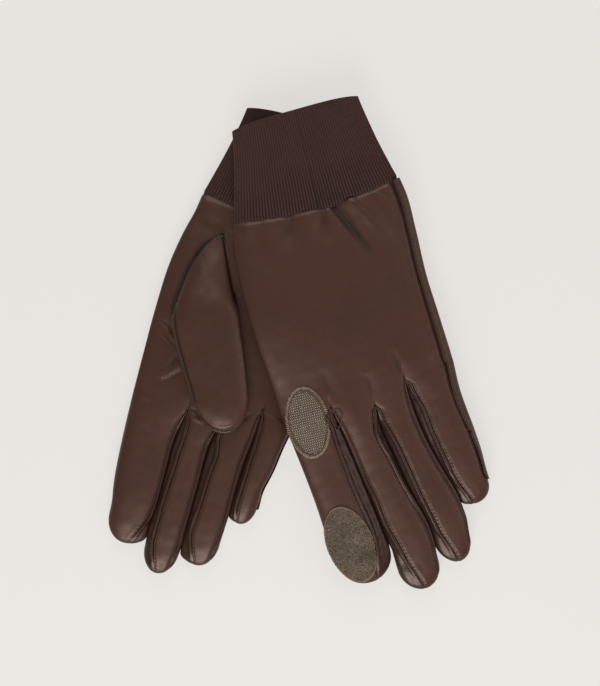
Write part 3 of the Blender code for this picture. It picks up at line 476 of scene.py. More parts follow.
class Sheet:
    """Sheet made of grids of points that join where they touch, then thickened to a closed skin."""

    def __init__(self):
        self.grids, self.faces, self.lines = [], [], []
        self.total = 0

    def grid(self, points, lifts=0.0, flip=False, skip=None, shade=0.0):
        """Adds rows by columns of points facing up, or down if flip.

        The lifts move them along the normals; shade is how much painted shade they get, most in seams, folds
        and gaps between fingers.
        """
        rows, columns = points.shape[:2]
        numbers = self.total + np.arange(rows * columns).reshape(rows, columns)
        faces = quads(numbers)
        if flip:
            faces = faces[:, ::-1]
        if skip is not None:
            faces = faces[~skip(points.reshape(-1, 3)[faces - self.total].mean(1))]
        spread = [np.broadcast_to(values, (rows, columns)).reshape(-1)
                  for values in (lifts, -np.asarray(shade))]
        self.grids.append((points.reshape(-1, 3), *spread))
        self.faces.append(faces)
        self.total += rows * columns
        return numbers

    def line(self, numbers):
        """Remembers a row of vertices to sew along."""
        self.lines.append(numbers)

    def settle(self):
        """Joins the grids and moves the points along their normals."""
        points, lifts, shades = (np.concatenate(part) for part in zip(*self.grids))
        key = np.round(points * 100.0).astype(np.int64)
        _, first, back = np.unique(key, axis=0, return_index=True, return_inverse=True)
        back = back.reshape(-1)
        # self.depth keeps each point's painted shade, as a negative number.
        points, self.depth, faces = points[first], shades[first], back[np.concatenate(self.faces)]
        a, b, c, d = faces.T
        flat = (a == c) | (b == d) | ((a == b) & (c == d)) | ((b == c) & (d == a))
        self.quads = faces[~flat]
        self.outer = points + normals_of(points, self.quads) * lifts[first][:, None]
        self.normals = normals_of(self.outer, self.quads)
        self.sewn = [back[line] for line in self.lines]
        return self

    def skin(self, thickness):
        """Points, faces and the painted shade of each point of the closed skin, as negative numbers."""
        count = len(self.outer)
        inner = self.outer - self.normals * thickness
        faces = self.quads
        edges = np.concatenate([faces[:, [k, (k + 1) % 4]] for k in range(4)])
        edges = edges[edges[:, 0] != edges[:, 1]]
        rim = edges[~np.isin(edges @ [count, 1], edges @ [1, count])]
        walls = np.stack([rim[:, 1], rim[:, 0], rim[:, 0] + count, rim[:, 1] + count], 1)
        solid = np.concatenate([faces, faces[:, ::-1] + count, walls])
        return np.concatenate([self.outer, inner]), solid, np.concatenate([self.depth, self.depth])


def plain_faces(faces):
    """Faces as tuples, without corners that repeat."""
    result = []
    for face in faces.tolist():
        corners = [c for k, c in enumerate(face) if c != face[k - 1]]
        if len(corners) > 2:
            result.append(tuple(corners))
    return result


def add_mesh(name, glove, points, faces, mat, painted_shade=None):
    """Mesh object from points in a glove's frame."""
    mesh = bpy.data.meshes.new(name)
    mesh.from_pydata(to_world(glove, points).tolist(), [], plain_faces(faces))
    mesh.validate()
    mesh.polygons.foreach_set("use_smooth", [True] * len(mesh.polygons))
    # The point attribute carries painted shade for the material: darkening laid into seams, folds, gaps
    # between fingers and rib grooves.
    if painted_shade is not None:
        mesh.attributes.new("painted_shade", "FLOAT", "POINT").data.foreach_set("value", painted_shade.astype(np.float32))
    mesh.materials.append(mat)
    item = bpy.data.objects.new(name, mesh)
    bpy.context.scene.collection.objects.link(item)
    return item


def skin_object(name, glove, sheet, thickness, mat):
    points, faces, depth = sheet.skin(thickness)
    return add_mesh(name, glove, points, faces, mat, depth)


# ---- leather panels
SEAM_STEPS = np.array([0.0, 0.14, 0.32, 0.55, 0.8, 1.05, 1.25, 1.5, 1.85, 2.4, 3.2])
FOLD_STEPS = np.array([0.0, 0.03, 0.11, 0.25, 0.45, 0.7, 1.0, 1.4, 1.9, 2.5, 3.2])
MIDDLE_COLUMNS = 13
STITCH_COLUMN = 6
FOLD_GAIN = 1.45
HEM_DROP = 0.6
# Painted shade, 0 to 1, laid into gaps between fingers, valley folds, seams, their stitch lines, hems and
# beside thumb arcs.
GAP_SHADE = 0.42
FOLD_SHADE = 0.46
SEAM_SHADE = 0.72
STITCH_SHADE = 0.22
HEM_SHADE = 0.7
ARC_SHADE = 0.75
HAND_STEPS = np.concatenate([[0.0, 0.3, 0.7, 1.2, 1.8], np.arange(2.6, HAND_LENGTH - 0.5, 1.0),
                             [HAND_LENGTH]])


def columns(low, high, width, low_steps, high_steps):
    """x of a panel's columns in each row: steps in mm in from both edges, then evenly between."""
    shrink = np.minimum(1.0, (high - low) * width / (2.6 * SEAM_STEPS[-1]))
    left = low + low_steps * shrink / width
    right = high - high_steps[::-1] * shrink / width
    share = np.linspace(0.0, 1.0, MIDDLE_COLUMNS + 2)[1:-1]
    middle = left[:, -1:] + (right[:, :1] - left[:, -1:]) * share
    return np.concatenate([left, middle, right], 1)


def seam_profile(distance):
    """Height of the leather beside a seam: edge turned down, then a soft roll over the turning."""
    edge = -0.66 * (1.0 - smooth(0.0, SEAM_EDGE, distance))
    return edge - 0.10 * bell(distance - STITCH_INSET, 0.34) + 0.15 * bell(distance - 2.2, 1.3)


def leather_lift(glove, face, points, reach, gaps, sewn):
    """Height of folds, puckers and seams on a panel, and the painted shade in its valley folds, seams, stitch
    lines, wrist hem and beside the thumb's arc; gaps are the distances in mm from its two edges.
    """
    u, v = points[..., 0], points[..., 1]
    total = 0.17 * waves(u, v, 26.0, 3 + face) + 0.045 * waves(u, v, 8.0, 11 + face)
    wrist = v - wrist_line(u)
    total += 0.20 * waves(u, v * 0.15, 13.0, 8) * np.exp(-np.maximum(wrist, 0.0) / 9.0)
    total += 0.05 * waves(u, v * 0.1, 3.2, 5) * np.exp(-np.maximum(wrist, 0.0) / 2.6)
    folds = 0.0
    if face > 0:
        folds = FOLD_GAIN * fold_lift(BACK_FOLDS if glove["back_up"] else PALM_FOLDS, u, v)
        total += folds
    for gap, kind in zip(gaps, sewn):
        if kind is None:
            total *= smooth(0.0, 1.6, gap)
    # Painted shade: darker in valley folds, beside the thumb's arc seam, in turned-down seam edges and stitch
    # lines, and along the wrist hem.
    shade = FOLD_SHADE * np.clip(-folds, 0.0, 1.2)
    if face == (-1 if glove["back_up"] else 1):
        beside, hood = beside_thumb(glove, u, v)
        total += hood * (0.25 * bell(beside - 3.0, 1.6) - 0.45 * bell(beside - 0.3, 1.1))
        shade = shade + ARC_SHADE * hood * bell(beside - 0.2, 1.2)
    sewing = smooth(-1.0, 2.5, reach)
    for gap, kind in zip(gaps, sewn):
        if kind is not None:
            on = sewing if kind == "side" else smooth(0.0, SEAM_FADE, finger_length(glove, 3) - reach)
            ruck = np.sin(v * 2.0 * math.pi / STITCH_PITCH) * 0.09 * bell(gap - STITCH_INSET, 0.7)
            ruck += 0.08 * waves(v, u * 0.2, 7.0, 17 + face) * np.exp(-gap / 2.4)
            total += on * (seam_profile(gap) + ruck)
            edge = SEAM_SHADE * (1.0 - smooth(0.0, SEAM_EDGE, gap))
            shade = shade + on * (edge + STITCH_SHADE * bell(gap - STITCH_INSET, 0.30))
    hem = 1.0 - smooth(0.0, 1.9, wrist)
    return total - HEM_DROP * hem, shade + HEM_SHADE * (1.0 - smooth(0.0, 0.7, wrist))


def beside_thumb(glove, u, v):
    """Distance in mm outside the thumb's arc seam, and 1 beside the arc or 0 beyond its ends."""
    across, forward = thumb_axes(glove, u, v)
    left, _ = thumb_outline(forward)
    slope = thumb_outline(forward + 0.5)[0] - thumb_outline(forward - 0.5)[0]
    hood = smooth(-HOOD_LENGTH + 1.0, -HOOD_LENGTH + 4.0, forward) * (1.0 - smooth(-8.0, 4.0, forward))
    return (left - across) / np.sqrt(1.0 + slope * slope), hood


def finger_rows(glove, ray, start=0.0, stop=None):
    """Distances along a finger, closer together at the rounded tip."""
    length = finger_length(glove, ray)
    if stop is not None:
        return np.linspace(start, stop, max(3, int((stop - start) / 0.8)))
    span = np.linspace(0.0, 1.0, int((length - start) / 0.7))
    return start + (length - start) * (0.45 * span + 0.55 * np.sin(span * math.pi / 2.0))


class Strip:
    """Rows along one finger and, from the wrist up to it, its part of the hand."""

    def __init__(self, glove, ray, start=None, stop=None):
        self.glove, self.ray = glove, ray
        self.share = HAND_STEPS / HAND_LENGTH if start is None else np.zeros(0)
        self.fingers = finger_rows(glove, ray, 0.0 if start is None else start, stop)
        if start is None:
            self.fingers = self.fingers[1:]
        self.reach = np.concatenate([(self.share - 1.0) * HAND_LENGTH, self.fingers])[:, None]
        (a, top_a), (b, top_b) = ray_edges(glove, ray)
        hand_width = 0.5 * ((b - a) + ((top_b[0] - top_a[0]) - (b - a)) * self.share)
        self.width = np.concatenate([hand_width, half_width(glove, ray, self.fingers)])[:, None]
        self.hand_rows = len(self.share)

    def points(self, x, face):
        """Points of the given face at x of each row."""
        n = self.hand_rows
        hand = hand_point(self.glove, self.ray, self.share[:, None], x[:n], face)
        finger = finger_point(self.glove, self.ray, self.fingers[:, None], x[n:], face)
        return np.concatenate([hand, finger])

    def edges(self, face):
        """Low and high x of the leather, and the kind of seam at each of the two edges."""
        wrap = 1 if self.glove["back_up"] else -1
        finger = self.reach > 0.0
        low, high, sewn = -1.0 + 0.0 * self.reach, 1.0 + 0.0 * self.reach, [None, None]
        if self.ray > 0:
            low, sewn[0] = np.where(finger, seam_place(self.glove, self.ray, -1, self.reach), low), "side"
        if self.ray < 3:
            high, sewn[1] = np.where(finger, seam_place(self.glove, self.ray, 1, self.reach), high), "side"
        elif face == wrap:
            high, sewn[1] = outer_seam_place(self.glove, self.reach), "outer"
        return low, high, sewn


def strip(glove, sheet, ray, face, start=None, stop=None, skip=None):
    """Adds the leather over one finger and its part of the hand to a sheet, with its seam lines."""
    rows = Strip(glove, ray, start, stop)
    low, high, sewn = rows.edges(face)
    x = columns(low, high, rows.width, *(SEAM_STEPS if kind else FOLD_STEPS for kind in sewn))
    points = rows.points(x, face)
    gaps = (x - low) * rows.width, (high - x) * rows.width
    lifts, shade = leather_lift(glove, face, points, rows.reach, gaps, sewn)
    end = finger_length(glove, ray) - rows.reach
    lifts = lifts * (0.25 + 0.75 * smooth(0.0, 4.0, end))
    # Painted shade in the seams fades towards the fingertip.
    shade = shade * (0.35 + 0.65 * smooth(0.0, 9.0, end))
    numbers = sheet.grid(points, lifts, face < 0, skip, shade)
    for kind, column in zip(sewn, (STITCH_COLUMN, numbers.shape[1] - 1 - STITCH_COLUMN)):
        if kind:
            sheet.line(numbers[rows.hand_rows if kind == "side" else 0:, column])
    if ray == 3 and sewn[1] is None:
        wrap_round(sheet, rows, face)


def wrap_round(sheet, rows, face):
    """The palm leather that folds round the little finger's edge to the outer seam."""
    seam = outer_seam_place(rows.glove, rows.reach)
    fade = smooth(0.0, SEAM_FADE, finger_length(rows.glove, rows.ray) - rows.reach)
    stop = seam - 0.7 * fade / rows.width
    x = 1.0 - (1.0 - stop) * np.linspace(0.0, 1.0, 12) ** 1.5
    gap = (x - seam) * rows.width
    lifts = -0.62 * (1.0 - smooth(-0.1, 0.7, gap)) + 0.14 * bell(gap - 1.4, 0.6)
    lifts = lifts * smooth(0.0, 1.2, (1.0 - x) * rows.width) * fade
    # Painted shade at the turned edge of the outer seam.
    sheet.grid(rows.points(x, -face), lifts, face > 0, shade=0.6 * fade * (1.0 - smooth(0.0, 0.6, gap)))


def gap_fill(glove, ray, side, reach):
    """Half of the gap between a finger's edge and its neighbour's, which their sidewalls fill."""
    def edge(finger, x):
        rows = np.linspace(0.0, finger_length(glove, finger), 120)
        return finger_point(glove, finger, rows, np.full(120, x), 1)
    own, other = edge(ray, float(side)), edge(ray + side, -float(side))
    v = finger_point(glove, ray, reach, np.full(len(reach), float(side)), 1)[:, 1]
    gap = side * (np.interp(v, other[:, 1], other[:, 0]) - np.interp(v, own[:, 1], own[:, 0]))
    notch = NOTCHES[glove["name"]][min(ray, ray + side)]
    return np.clip(0.5 * gap + 0.15, 0.12, 2.4) * (1.0 - smooth(notch - 5.0, notch + 1.0, v))


def wall_sheet(glove, ray, side, reach, faces=(1, -1)):
    """Sidewall, from its upper seam round the finger's edge to its lower seam, or one half of it."""
    sheet = Sheet()
    column = reach[:, None]
    width = half_width(glove, ray, column)
    seam = np.abs(seam_place(glove, ray, side, column))
    tuck = np.maximum(seam - 0.9 / width, 0.0)
    share = np.linspace(0.0, 1.0, 20)
    x = tuck + (1.0 - tuck) * np.sin(share * math.pi / 2.0) ** 0.92
    gap = (x - seam) * width
    band = (1.0 - seam) * width
    end = 1.0 - smooth(0.86, 1.0, column / finger_length(glove, ray))
    hollow = smooth(3.6, 6.0, band) * bell(gap - 0.5 * band, 0.26 * band + 0.01)
    wrinkle = waves(gap * 1.6, column * 0.8, 5.0, 40 + ray) * smooth(0.6, 2.0, gap)
    lifts = -0.8 * (1.0 - smooth(-0.3, 0.7, gap)) + 0.40 * bell(gap - 1.25, 0.6) * smooth(0.0, 6.0, column)
    lifts = lifts - 0.55 * hollow + 0.14 * wrinkle * smooth(0.0, 0.10, 1.0 - x)
    lifts = lifts * smooth(0.0, 0.03, 1.0 - x) * (0.15 + 0.85 * end)
    lifts = lifts + gap_fill(glove, ray, side, reach)[:, None] * smooth(0.4, 1.0, share)
    # Painted shade: deepest in the gap between fingers, in the seam and in the wrinkle valleys.
    shade = GAP_SHADE * smooth(0.45, 0.95, share) * smooth(0.0, 5.0, column) * end * (0.35 + 0.65 * end)
    shade = shade + 0.7 * end * (1.0 - smooth(-0.2, 0.5, gap)) + 0.12 * np.clip(-wrinkle, 0.0, 1.0)
    for face in faces:
        points = finger_point(glove, ray, column, side * x, face)
        sheet.grid(points[:, ::face], lifts[:, ::face], side < 0, shade=shade[:, ::face])
    return sheet.settle()


# ---- stitches and other threads
def tube(points, radius, sides=6):
    """Closed tube along a line of points, with pointed ends."""
    points = np.asarray(points, float)
    size = np.broadcast_to(radius, len(points))
    way = np.gradient(points, axis=0)
    way /= np.linalg.norm(way, axis=1, keepdims=True) + 1e-12
    up = np.where(np.abs(way[:, 2:3]) > 0.9, np.array([[1.0, 0.0, 0.0]]), np.array([[0.0, 0.0, 1.0]]))
    side = np.cross(way, up)
    side /= np.linalg.norm(side, axis=1, keepdims=True)
    up = np.cross(side, way)
    angle = np.linspace(0.0, 2.0 * math.pi, sides, endpoint=False)[None, :, None]
    ring = side[:, None] * np.cos(angle) + up[:, None] * np.sin(angle)
    rings = points[:, None] + ring * size[:, None, None]
    ends = np.array([points[0] - way[0] * size[0] * 0.6, points[-1] + way[-1] * size[-1] * 0.6])
    numbers = np.arange(len(points) * sides).reshape(len(points), sides)
    start, stop = np.full(sides, numbers.size), np.full(sides, numbers.size + 1)
    first = np.stack([start, start, np.roll(numbers[0], -1), numbers[0]], 1)
    last = np.stack([stop, stop, numbers[-1], np.roll(numbers[-1], -1)], 1)
    faces = np.concatenate([quads(numbers, closed=True), first, last])
    return np.concatenate([rings.reshape(-1, 3), ends]), faces


def gather(parts):
    """One set of points and faces from several."""
    points, faces = zip(*parts)
    starts = np.cumsum([0] + [len(some) for some in points])
    return np.concatenate(points), np.concatenate([those + start for those, start in zip(faces, starts)])


def sewn_line(sheet, numbers):
    """Places, directions and normals of the stitches along a remembered line of a settled sheet."""
    line, normal = sheet.outer[numbers], sheet.normals[numbers]
    run = np.concatenate([[0.0], np.cumsum(np.linalg.norm(np.diff(line, axis=0), axis=1))])
    spots = np.arange(1.0, max(run[-1] - 1.0, 1.0), STITCH_PITCH)

    def sample(table, at):
        return np.stack([np.interp(at, run, table[:, k]) for k in range(3)], -1)
    ways = sample(line, spots + 0.3) - sample(line, spots - 0.3)
    ways /= np.linalg.norm(ways, axis=1, keepdims=True) + 1e-12
    return zip(sample(line, spots), ways, sample(normal, spots))


def stitch_object(name, glove, sheets):
    """Short threads that rise out of the leather and go back in, along the seams of some sheets."""
    bend = np.array([-0.5, -0.42, -0.22, 0.0, 0.22, 0.42, 0.5])[:, None] * STITCH_LENGTH
    rise = np.array([-0.22, -0.06, 0.02, 0.04, 0.02, -0.06, -0.22])[:, None]
    parts = [tube(place + bend * way + rise * normal, STITCH_RADIUS)
             for sheet in sheets for line in sheet.sewn for place, way, normal in sewn_line(sheet, line)]
    return add_mesh(name, glove, *gather(parts), THREAD)


# ---- rib-knit cuffs
def cuff_round(angle):
    """Flattened oval of the cuff's section, from -1 to 1 across and from -1 to 1 up."""
    cos, sin = np.cos(angle), np.sin(angle)
    return np.sign(cos) * np.abs(cos) ** 0.55, np.sign(sin) * np.abs(sin) ** 0.75


def cuff_point(glove, t, angle, depth):
    """Point of the cuff: t from the wrist seam to its mouth, angle round it, depth below its surface."""
    first, last = glove["index_side"][0][1], glove["little_side"][0][1]
    width = 0.5 * (last - first) - 0.3 - CUFF_NARROWING * (1.0 - (1.0 - t) ** 1.25)
    height = REST_FLAT - 0.35 * np.sin(t * math.pi)
    x, z = cuff_round(angle)
    u = (width - depth) * x
    v = wrist_line(u) * (1.0 - t) - 0.4 - t * (CUFF_LENGTH[glove["name"]] - 1.6 * np.abs(x) ** 4)
    w = rest_height(glove, u, v) + (height - depth) * z
    return np.stack([u + 0.5 * (first + last) * (1.0 - t) + t, v, w], -1)


def rib_angles(count):
    """Angles round the flattened cuff that space the ribs evenly along its outline."""
    fine = np.linspace(0.0, 2.0 * math.pi, 4000)
    x, z = cuff_round(fine)
    run = np.concatenate([[0.0], np.cumsum(np.hypot(np.diff(x * 40.0), np.diff(z * 4.5)))])
    return np.interp(np.arange(count) / count * run[-1], run, fine)


def cuff_mesh(glove):
    """Folded band of rib knit with its ribs and rows of stitches as shape."""
    around = 2 * RIBS_PER_SIDE * POINTS_PER_RIB
    angle = rib_angles(around)[None, :]
    t = np.concatenate([np.linspace(-0.035, 0.97, 96), [0.985, 0.995]])[:, None]
    phase = np.arange(around)[None, :] / POINTS_PER_RIB
    rib = np.abs(np.cos((phase + 0.10 * waves(phase, t * 40.0, 14.0, 23)) * math.pi)) ** 0.7
    row = t * CUFF_LENGTH[glove["name"]] / KNIT_ROW + 0.25 * np.cos(phase * 2.0 * math.pi)
    depth = RIB_DEPTH * (1.0 - rib) * (0.62 + 0.38 * smooth(0.6, 0.0, t))
    depth = depth + 0.05 * np.sin(row * 2.0 * math.pi) * rib
    seam = 0.9 * (1.0 - smooth(-0.035, 0.03, t))
    swell = 0.125 * waves(phase, t * 30.0, 30.0, 29) * smooth(0.0, 0.2, t)
    points = np.concatenate([
        cuff_point(glove, t, angle, depth + seam - swell),
        cuff_point(glove, 1.0, angle, KNIT * 0.5 + 0.12 * (1.0 - rib[-1:])),
        cuff_point(glove, np.linspace(0.985, 0.03, 14)[:, None], angle,
                   KNIT + 0.15 * np.abs(np.cos(phase * math.pi)))])
    numbers = np.arange(points[..., 0].size).reshape(-1, around)
    # The ribs' depth is also used as painted shade in the rib grooves.
    painted_groove_shade = np.zeros(numbers.shape)
    painted_groove_shade[:len(depth)] = depth
    faces = quads(np.concatenate([numbers, numbers[:1]]), closed=True)
    return points.reshape(-1, 3), faces, -painted_groove_shade.reshape(-1)


# ---- thumbs
def thumb_axes(glove, u, v):
    """Distances of a plan place across and along the thumb from its hinge."""
    centre, (du, dv) = THUMB_CENTRE[glove["name"]], THUMB_DIRECTION[glove["name"]]
    return (u - centre[0]) * dv - (v - centre[1]) * du, (u - centre[0]) * du + (v - centre[1]) * dv


def thumb_place(glove, across, forward):
    """Plan place from distances across and along the thumb."""
    centre, (du, dv) = THUMB_CENTRE[glove["name"]], THUMB_DIRECTION[glove["name"]]
    return centre[0] + across * dv + forward * du, centre[1] - across * du + forward * dv


def thumb_outline(distance):
    """Left and right edge of the thumb, before its tip rounds off; distance runs from the hinge line."""
    t = np.clip(-distance / HOOD_LENGTH, 0.0, 1.0)
    offset, half = (along([(row[0], row[k]) for row in THUMB_WIDTHS], distance) for k in (1, 2))
    left = np.where(distance < 0.0, 13.7 - 32.6 * np.sqrt(1.0 - t ** 1.08), offset - half)
    right = np.where(distance < 0.0, 15.8 - 2.0 * t, offset + half)
    return left, right


def thumb_plan(glove, distance, x):
    """Plan place on the thumb, x from -1 to 1 across it; its rows bow back towards the rounded tip."""
    left, right = thumb_outline(distance)
    bow = 20.0 * smooth(THUMB_LENGTH * 0.45, THUMB_LENGTH, distance)
    bow = bow * (1.0 - np.sqrt(np.clip(1.0 - x * x, 0.0, 1.0)))
    return thumb_place(glove, left + (right - left) * (x + 1.0) * 0.5, distance - bow)


def palm_level(glove, u, v):
    """Height of the palm side's outer surface."""
    face = -1 if glove["back_up"] else 1
    return lift(glove, u, v, hand_half(glove, u, v, face), face)


def thumb_levels(glove, distance, x):
    """Plan places on the thumb and the heights of its far side and its near side."""
    u, v = thumb_plan(glove, distance, x)
    if glove["back_up"]:
        base = rest_height(glove, u, v) - FINGER_HALF - 0.4
        height = -3.4 - (TUCKED_THUMB_HEIGHT - 3.4) * smooth(0.0, 25.0, distance)
        rim = palm_level(glove, u, v) - 0.15
    else:
        base = REST_FLAT + PALM_HALF + 0.45 + 0.0 * u
        height = THUMB_HEIGHT
        rim = palm_level(glove, u, v) + 0.15
    rise = np.clip(1.0 + distance / HOOD_LENGTH, 0.0, 1.0)
    swell = 0.04 + 0.96 * smooth(-0.25, 1.1, rise)
    free = smooth(-16.0, 5.0, distance)
    edge = rim * (1.0 - free) + (base + height * 0.5) * free
    tip = crown(np.clip((distance - THUMB_LENGTH + THUMB_CAP) / THUMB_CAP, 0.0, 1.0), 2.2)
    far = edge + (base + height - edge) * swell * crown(x, 2.3 - 0.5 * (1.0 - rise)) * tip
    near = edge + (base - edge) * crown(x, 2.4) * tip
    return u, v, far, near


def thumb_sheet(glove):
    """Leather of the thumb from its arc seam to its closed tip, with a strip let in along one side."""
    sheet = Sheet()
    span = np.linspace(0.0, 1.0, THUMB_ROWS)
    ahead = THUMB_LENGTH * (0.5 * span + 0.5 * np.sin(span * math.pi / 2.0))
    behind = -HOOD_LENGTH * np.sin(np.linspace(math.pi / 2.0 * 0.985, 0.0, HOOD_ROWS))[:-1]
    distance = np.concatenate([behind, ahead])[:, None]
    x = np.sin(np.linspace(-1.0, 1.0, THUMB_COLUMNS) * math.pi / 2.0)[None, :]
    u, v, far, near = thumb_levels(glove, distance, x)
    left, right = thumb_outline(distance)
    gap = (1.0 + x) * 0.5 * (right - left)
    edge_gap = (1.0 - np.abs(x)) * 0.5 * (right - left)
    tip_gap = THUMB_LENGTH - distance
    rim_gap = (np.maximum(gap, 1e-3) ** -3.0 + np.maximum(tip_gap, 1e-3) ** -3.0) ** (-1.0 / 3.0)
    strip_gap = rim_gap - THUMB_STRIP
    arc = 1.0 - smooth(-9.0, -2.0, distance)
    strip_on = smooth(-7.0, -1.0, distance) * (1.0 - smooth(0.1, 0.6, x))
    total = (0.14 * waves(u, v, 22.0, 51) + 0.05 * waves(u, v, 6.0, 52)) * smooth(0.0, 2.0, edge_gap)
    total = total + arc * (0.22 * bell(gap - 2.2, 1.2) - 0.7 * (1.0 - smooth(0.0, 1.3, edge_gap)))
    total = total - strip_on * (0.60 * bell(strip_gap, 0.45) - 0.14 * bell(strip_gap - 1.4, 0.9))
    total = total + strip_on * 0.38 * bell(strip_gap + 0.95, 0.55)
    # Painted shade along the strip's seam and beside the arc seam.
    shade = 0.9 * strip_on * bell(strip_gap, 0.50) + 1.0 * arc * (1.0 - smooth(1.0, 2.3, edge_gap))
    numbers = sheet.grid(np.stack([u, v, far], -1), total, glove["back_up"], shade=shade)
    start = int(np.searchsorted(distance[:, 0], -9.0))
    sheet.grid(np.stack([u, v, near], -1)[start:], 0.0, not glove["back_up"])
    column = int(np.argmin(np.abs((gap - THUMB_STRIP - STRIP_STITCH_GAP)[STRIP_STITCH_ROW])))
    sheet.line(numbers[STRIP_STITCH_ROWS, column])
    return sheet.settle()


def inside_hood(glove):
    """Test for places on the palm that the thumb opens into."""
    def test(points):
        across, forward = thumb_axes(glove, points[:, 0], points[:, 1])
        left, right = thumb_outline(forward)
        x = (2.0 * across - left - right) / np.maximum(right - left, 1e-6)
        return (forward < -2.5) & (forward > -HOOD_LENGTH * 0.86) & (np.abs(x) < 0.78)
    return test


# ---- hook and loop patches
# Centre, half length, half width and turn in degrees; RIM_TURNS is how many turns and how far in they reach.
PATCHES = {
    "hook": ((-35.3, 106.1), 18.3, 10.9, -5.0),
    "loop": ((-31.2, 172.0), 20.4, 11.8, 7.0),
}
PATCH_RAISE = 0.75
PATCH_DROP = 2.4
PATCH_STITCH = 1.25
PATCH_THREAD_RADIUS = 0.21
RIM_TURNS = {"hook": (112, 1.10), "loop": (160, 0.55)}
HOOK_PITCH = (0.98, 1.18)
HOOK_RADIUS = 0.15
HOOK_MARGIN = 2.3
FUZZ_LOOPS = 3600
FUZZ_RADIUS = 0.085


def leaned(centre, turn, across, forward):
    """Plan place at distances across and forward from a centre, in axes turned by so many degrees."""
    lean = math.radians(turn)
    return (centre[0] + across * math.cos(lean) + forward * math.sin(lean),
            centre[1] - across * math.sin(lean) + forward * math.cos(lean))


def patch_place(kind, ring, angle, inset=0.0):
    """Plan place on an oval patch: ring from 0 at its middle to 1 at its edge, or inset mm inside it."""
    centre, length, width, turn = PATCHES[kind]
    across, forward = (ring * width - inset) * np.cos(angle), (ring * length - inset) * np.sin(angle)
    return leaned(centre, turn, across, forward)


def leather_below(sheets):
    """Function for the height of some settled sheets at plan places."""
    points, faces = gather([(s.outer, s.quads) for s in sheets])
    tree = BVHTree.FromPolygons(points.tolist(), plain_faces(faces))

    def height(u, v):
        hits = [tree.ray_cast(Vector((*place, 60.0)), Vector((0.0, 0.0, -1.0)))[0]
                for place in zip(np.ravel(u), np.ravel(v))]
        return np.array([hit.z if hit is not None else -99.0 for hit in hits]).reshape(np.shape(u))
    return height


def patch_ground(glove, kind, sheets):
    """Function for the height under a patch, which bridges hollows and stops short of the finger's side."""
    cast = leather_below(sheets)
    centre = PATCHES[kind][0]
    peak = float(cast(*centre)) - rest_height(glove, *centre)

    def height(u, v):
        return np.maximum(cast(u, v), rest_height(glove, u, v) + peak - PATCH_DROP)
    return height


def patch_plate(kind, ground):
    """Oval plate of the patch, its edge turned down."""
    rings = np.concatenate([np.linspace(0.0, 0.88, 20), [0.92, 0.95, 0.975, 0.99, 1.0]])[:, None]
    angle = np.linspace(0.0, 2.0 * math.pi, 120, endpoint=False)[None, :]
    u, v = patch_place(kind, rings, angle)
    level = ground(u, v)
    top = np.stack([u, v, level + PATCH_RAISE * (1.0 - 0.55 * smooth(0.955, 1.0, rings))], -1)
    under = np.stack([u, v, level - 0.25], -1)[::-1]
    points = np.concatenate([top, under])
    return points.reshape(-1, 3), quads(np.arange(points[..., 0].size).reshape(len(points), -1), closed=True)


def patch_frame(ground, u, v, raise_by):
    """Places on the patch's top with the local up direction."""
    step = 0.6
    du = (ground(u + step, v) - ground(u - step, v)) / (2.0 * step)
    dv = (ground(u, v + step) - ground(u, v - step)) / (2.0 * step)
    normal = np.stack([-np.clip(du, -1.2, 1.2), -np.clip(dv, -1.2, 1.2), np.ones_like(du)], -1)
    normal /= np.linalg.norm(normal, axis=-1, keepdims=True)
    return np.stack([u, v, ground(u, v) + raise_by], -1), normal


def edge_thread(kind, ground, angle, inset, rise, radius):
    """One thread near the patch's edge, through points at some angles, insets and heights."""
    u, v = patch_place(kind, 1.0, angle, inset)
    return tube(np.stack([u, v, ground(u, v) + PATCH_RAISE + rise], -1), radius)


def patch_rim(kind, ground):
    """Overlocked edge: turns of thread wound over it, closer or wider as the machine fed them."""
    count, inside = RIM_TURNS[kind]
    rng = np.random.default_rng(5)
    over = np.array([1.0, 0.8, 0.45, 0.1, -0.12, -0.16])
    rise = np.array([-0.14, 0.08, 0.17, 0.06, -0.26, -0.60])
    spread = np.linspace(-0.6, 0.6, len(over)) * 2.0 * math.pi / count
    return [edge_thread(kind, ground, a + rng.uniform(0.2, 1.1) * spread,
                        inside * rng.uniform(0.85, 1.15) * over, rise * rng.uniform(0.8, 1.15),
                        rng.uniform(0.16, 0.24))
            for a in np.linspace(0.0, 2.0 * math.pi, count, endpoint=False)]


def patch_stitches(kind, ground):
    """Zigzag of sewing thread just inside the rim."""
    _, length, width, _ = PATCHES[kind]
    count = 2 * int(math.pi * (length + width) / (2.0 * PATCH_STITCH))
    spread = 2.0 * math.pi / count * np.array([-0.42, -0.3, 0.0, 0.3, 0.42])
    slope = 0.30 * np.array([-1.0, -0.7, 0.0, 0.7, 1.0])
    rise = np.array([-0.05, 0.16, 0.24, 0.16, -0.05])
    inset = RIM_TURNS[kind][1] + 0.45
    return [edge_thread(kind, ground, a + spread, inset + (slope if number % 2 else -slope), rise,
                        PATCH_THREAD_RADIUS)
            for number, a in enumerate(np.linspace(0.0, 2.0 * math.pi, count, endpoint=False))]


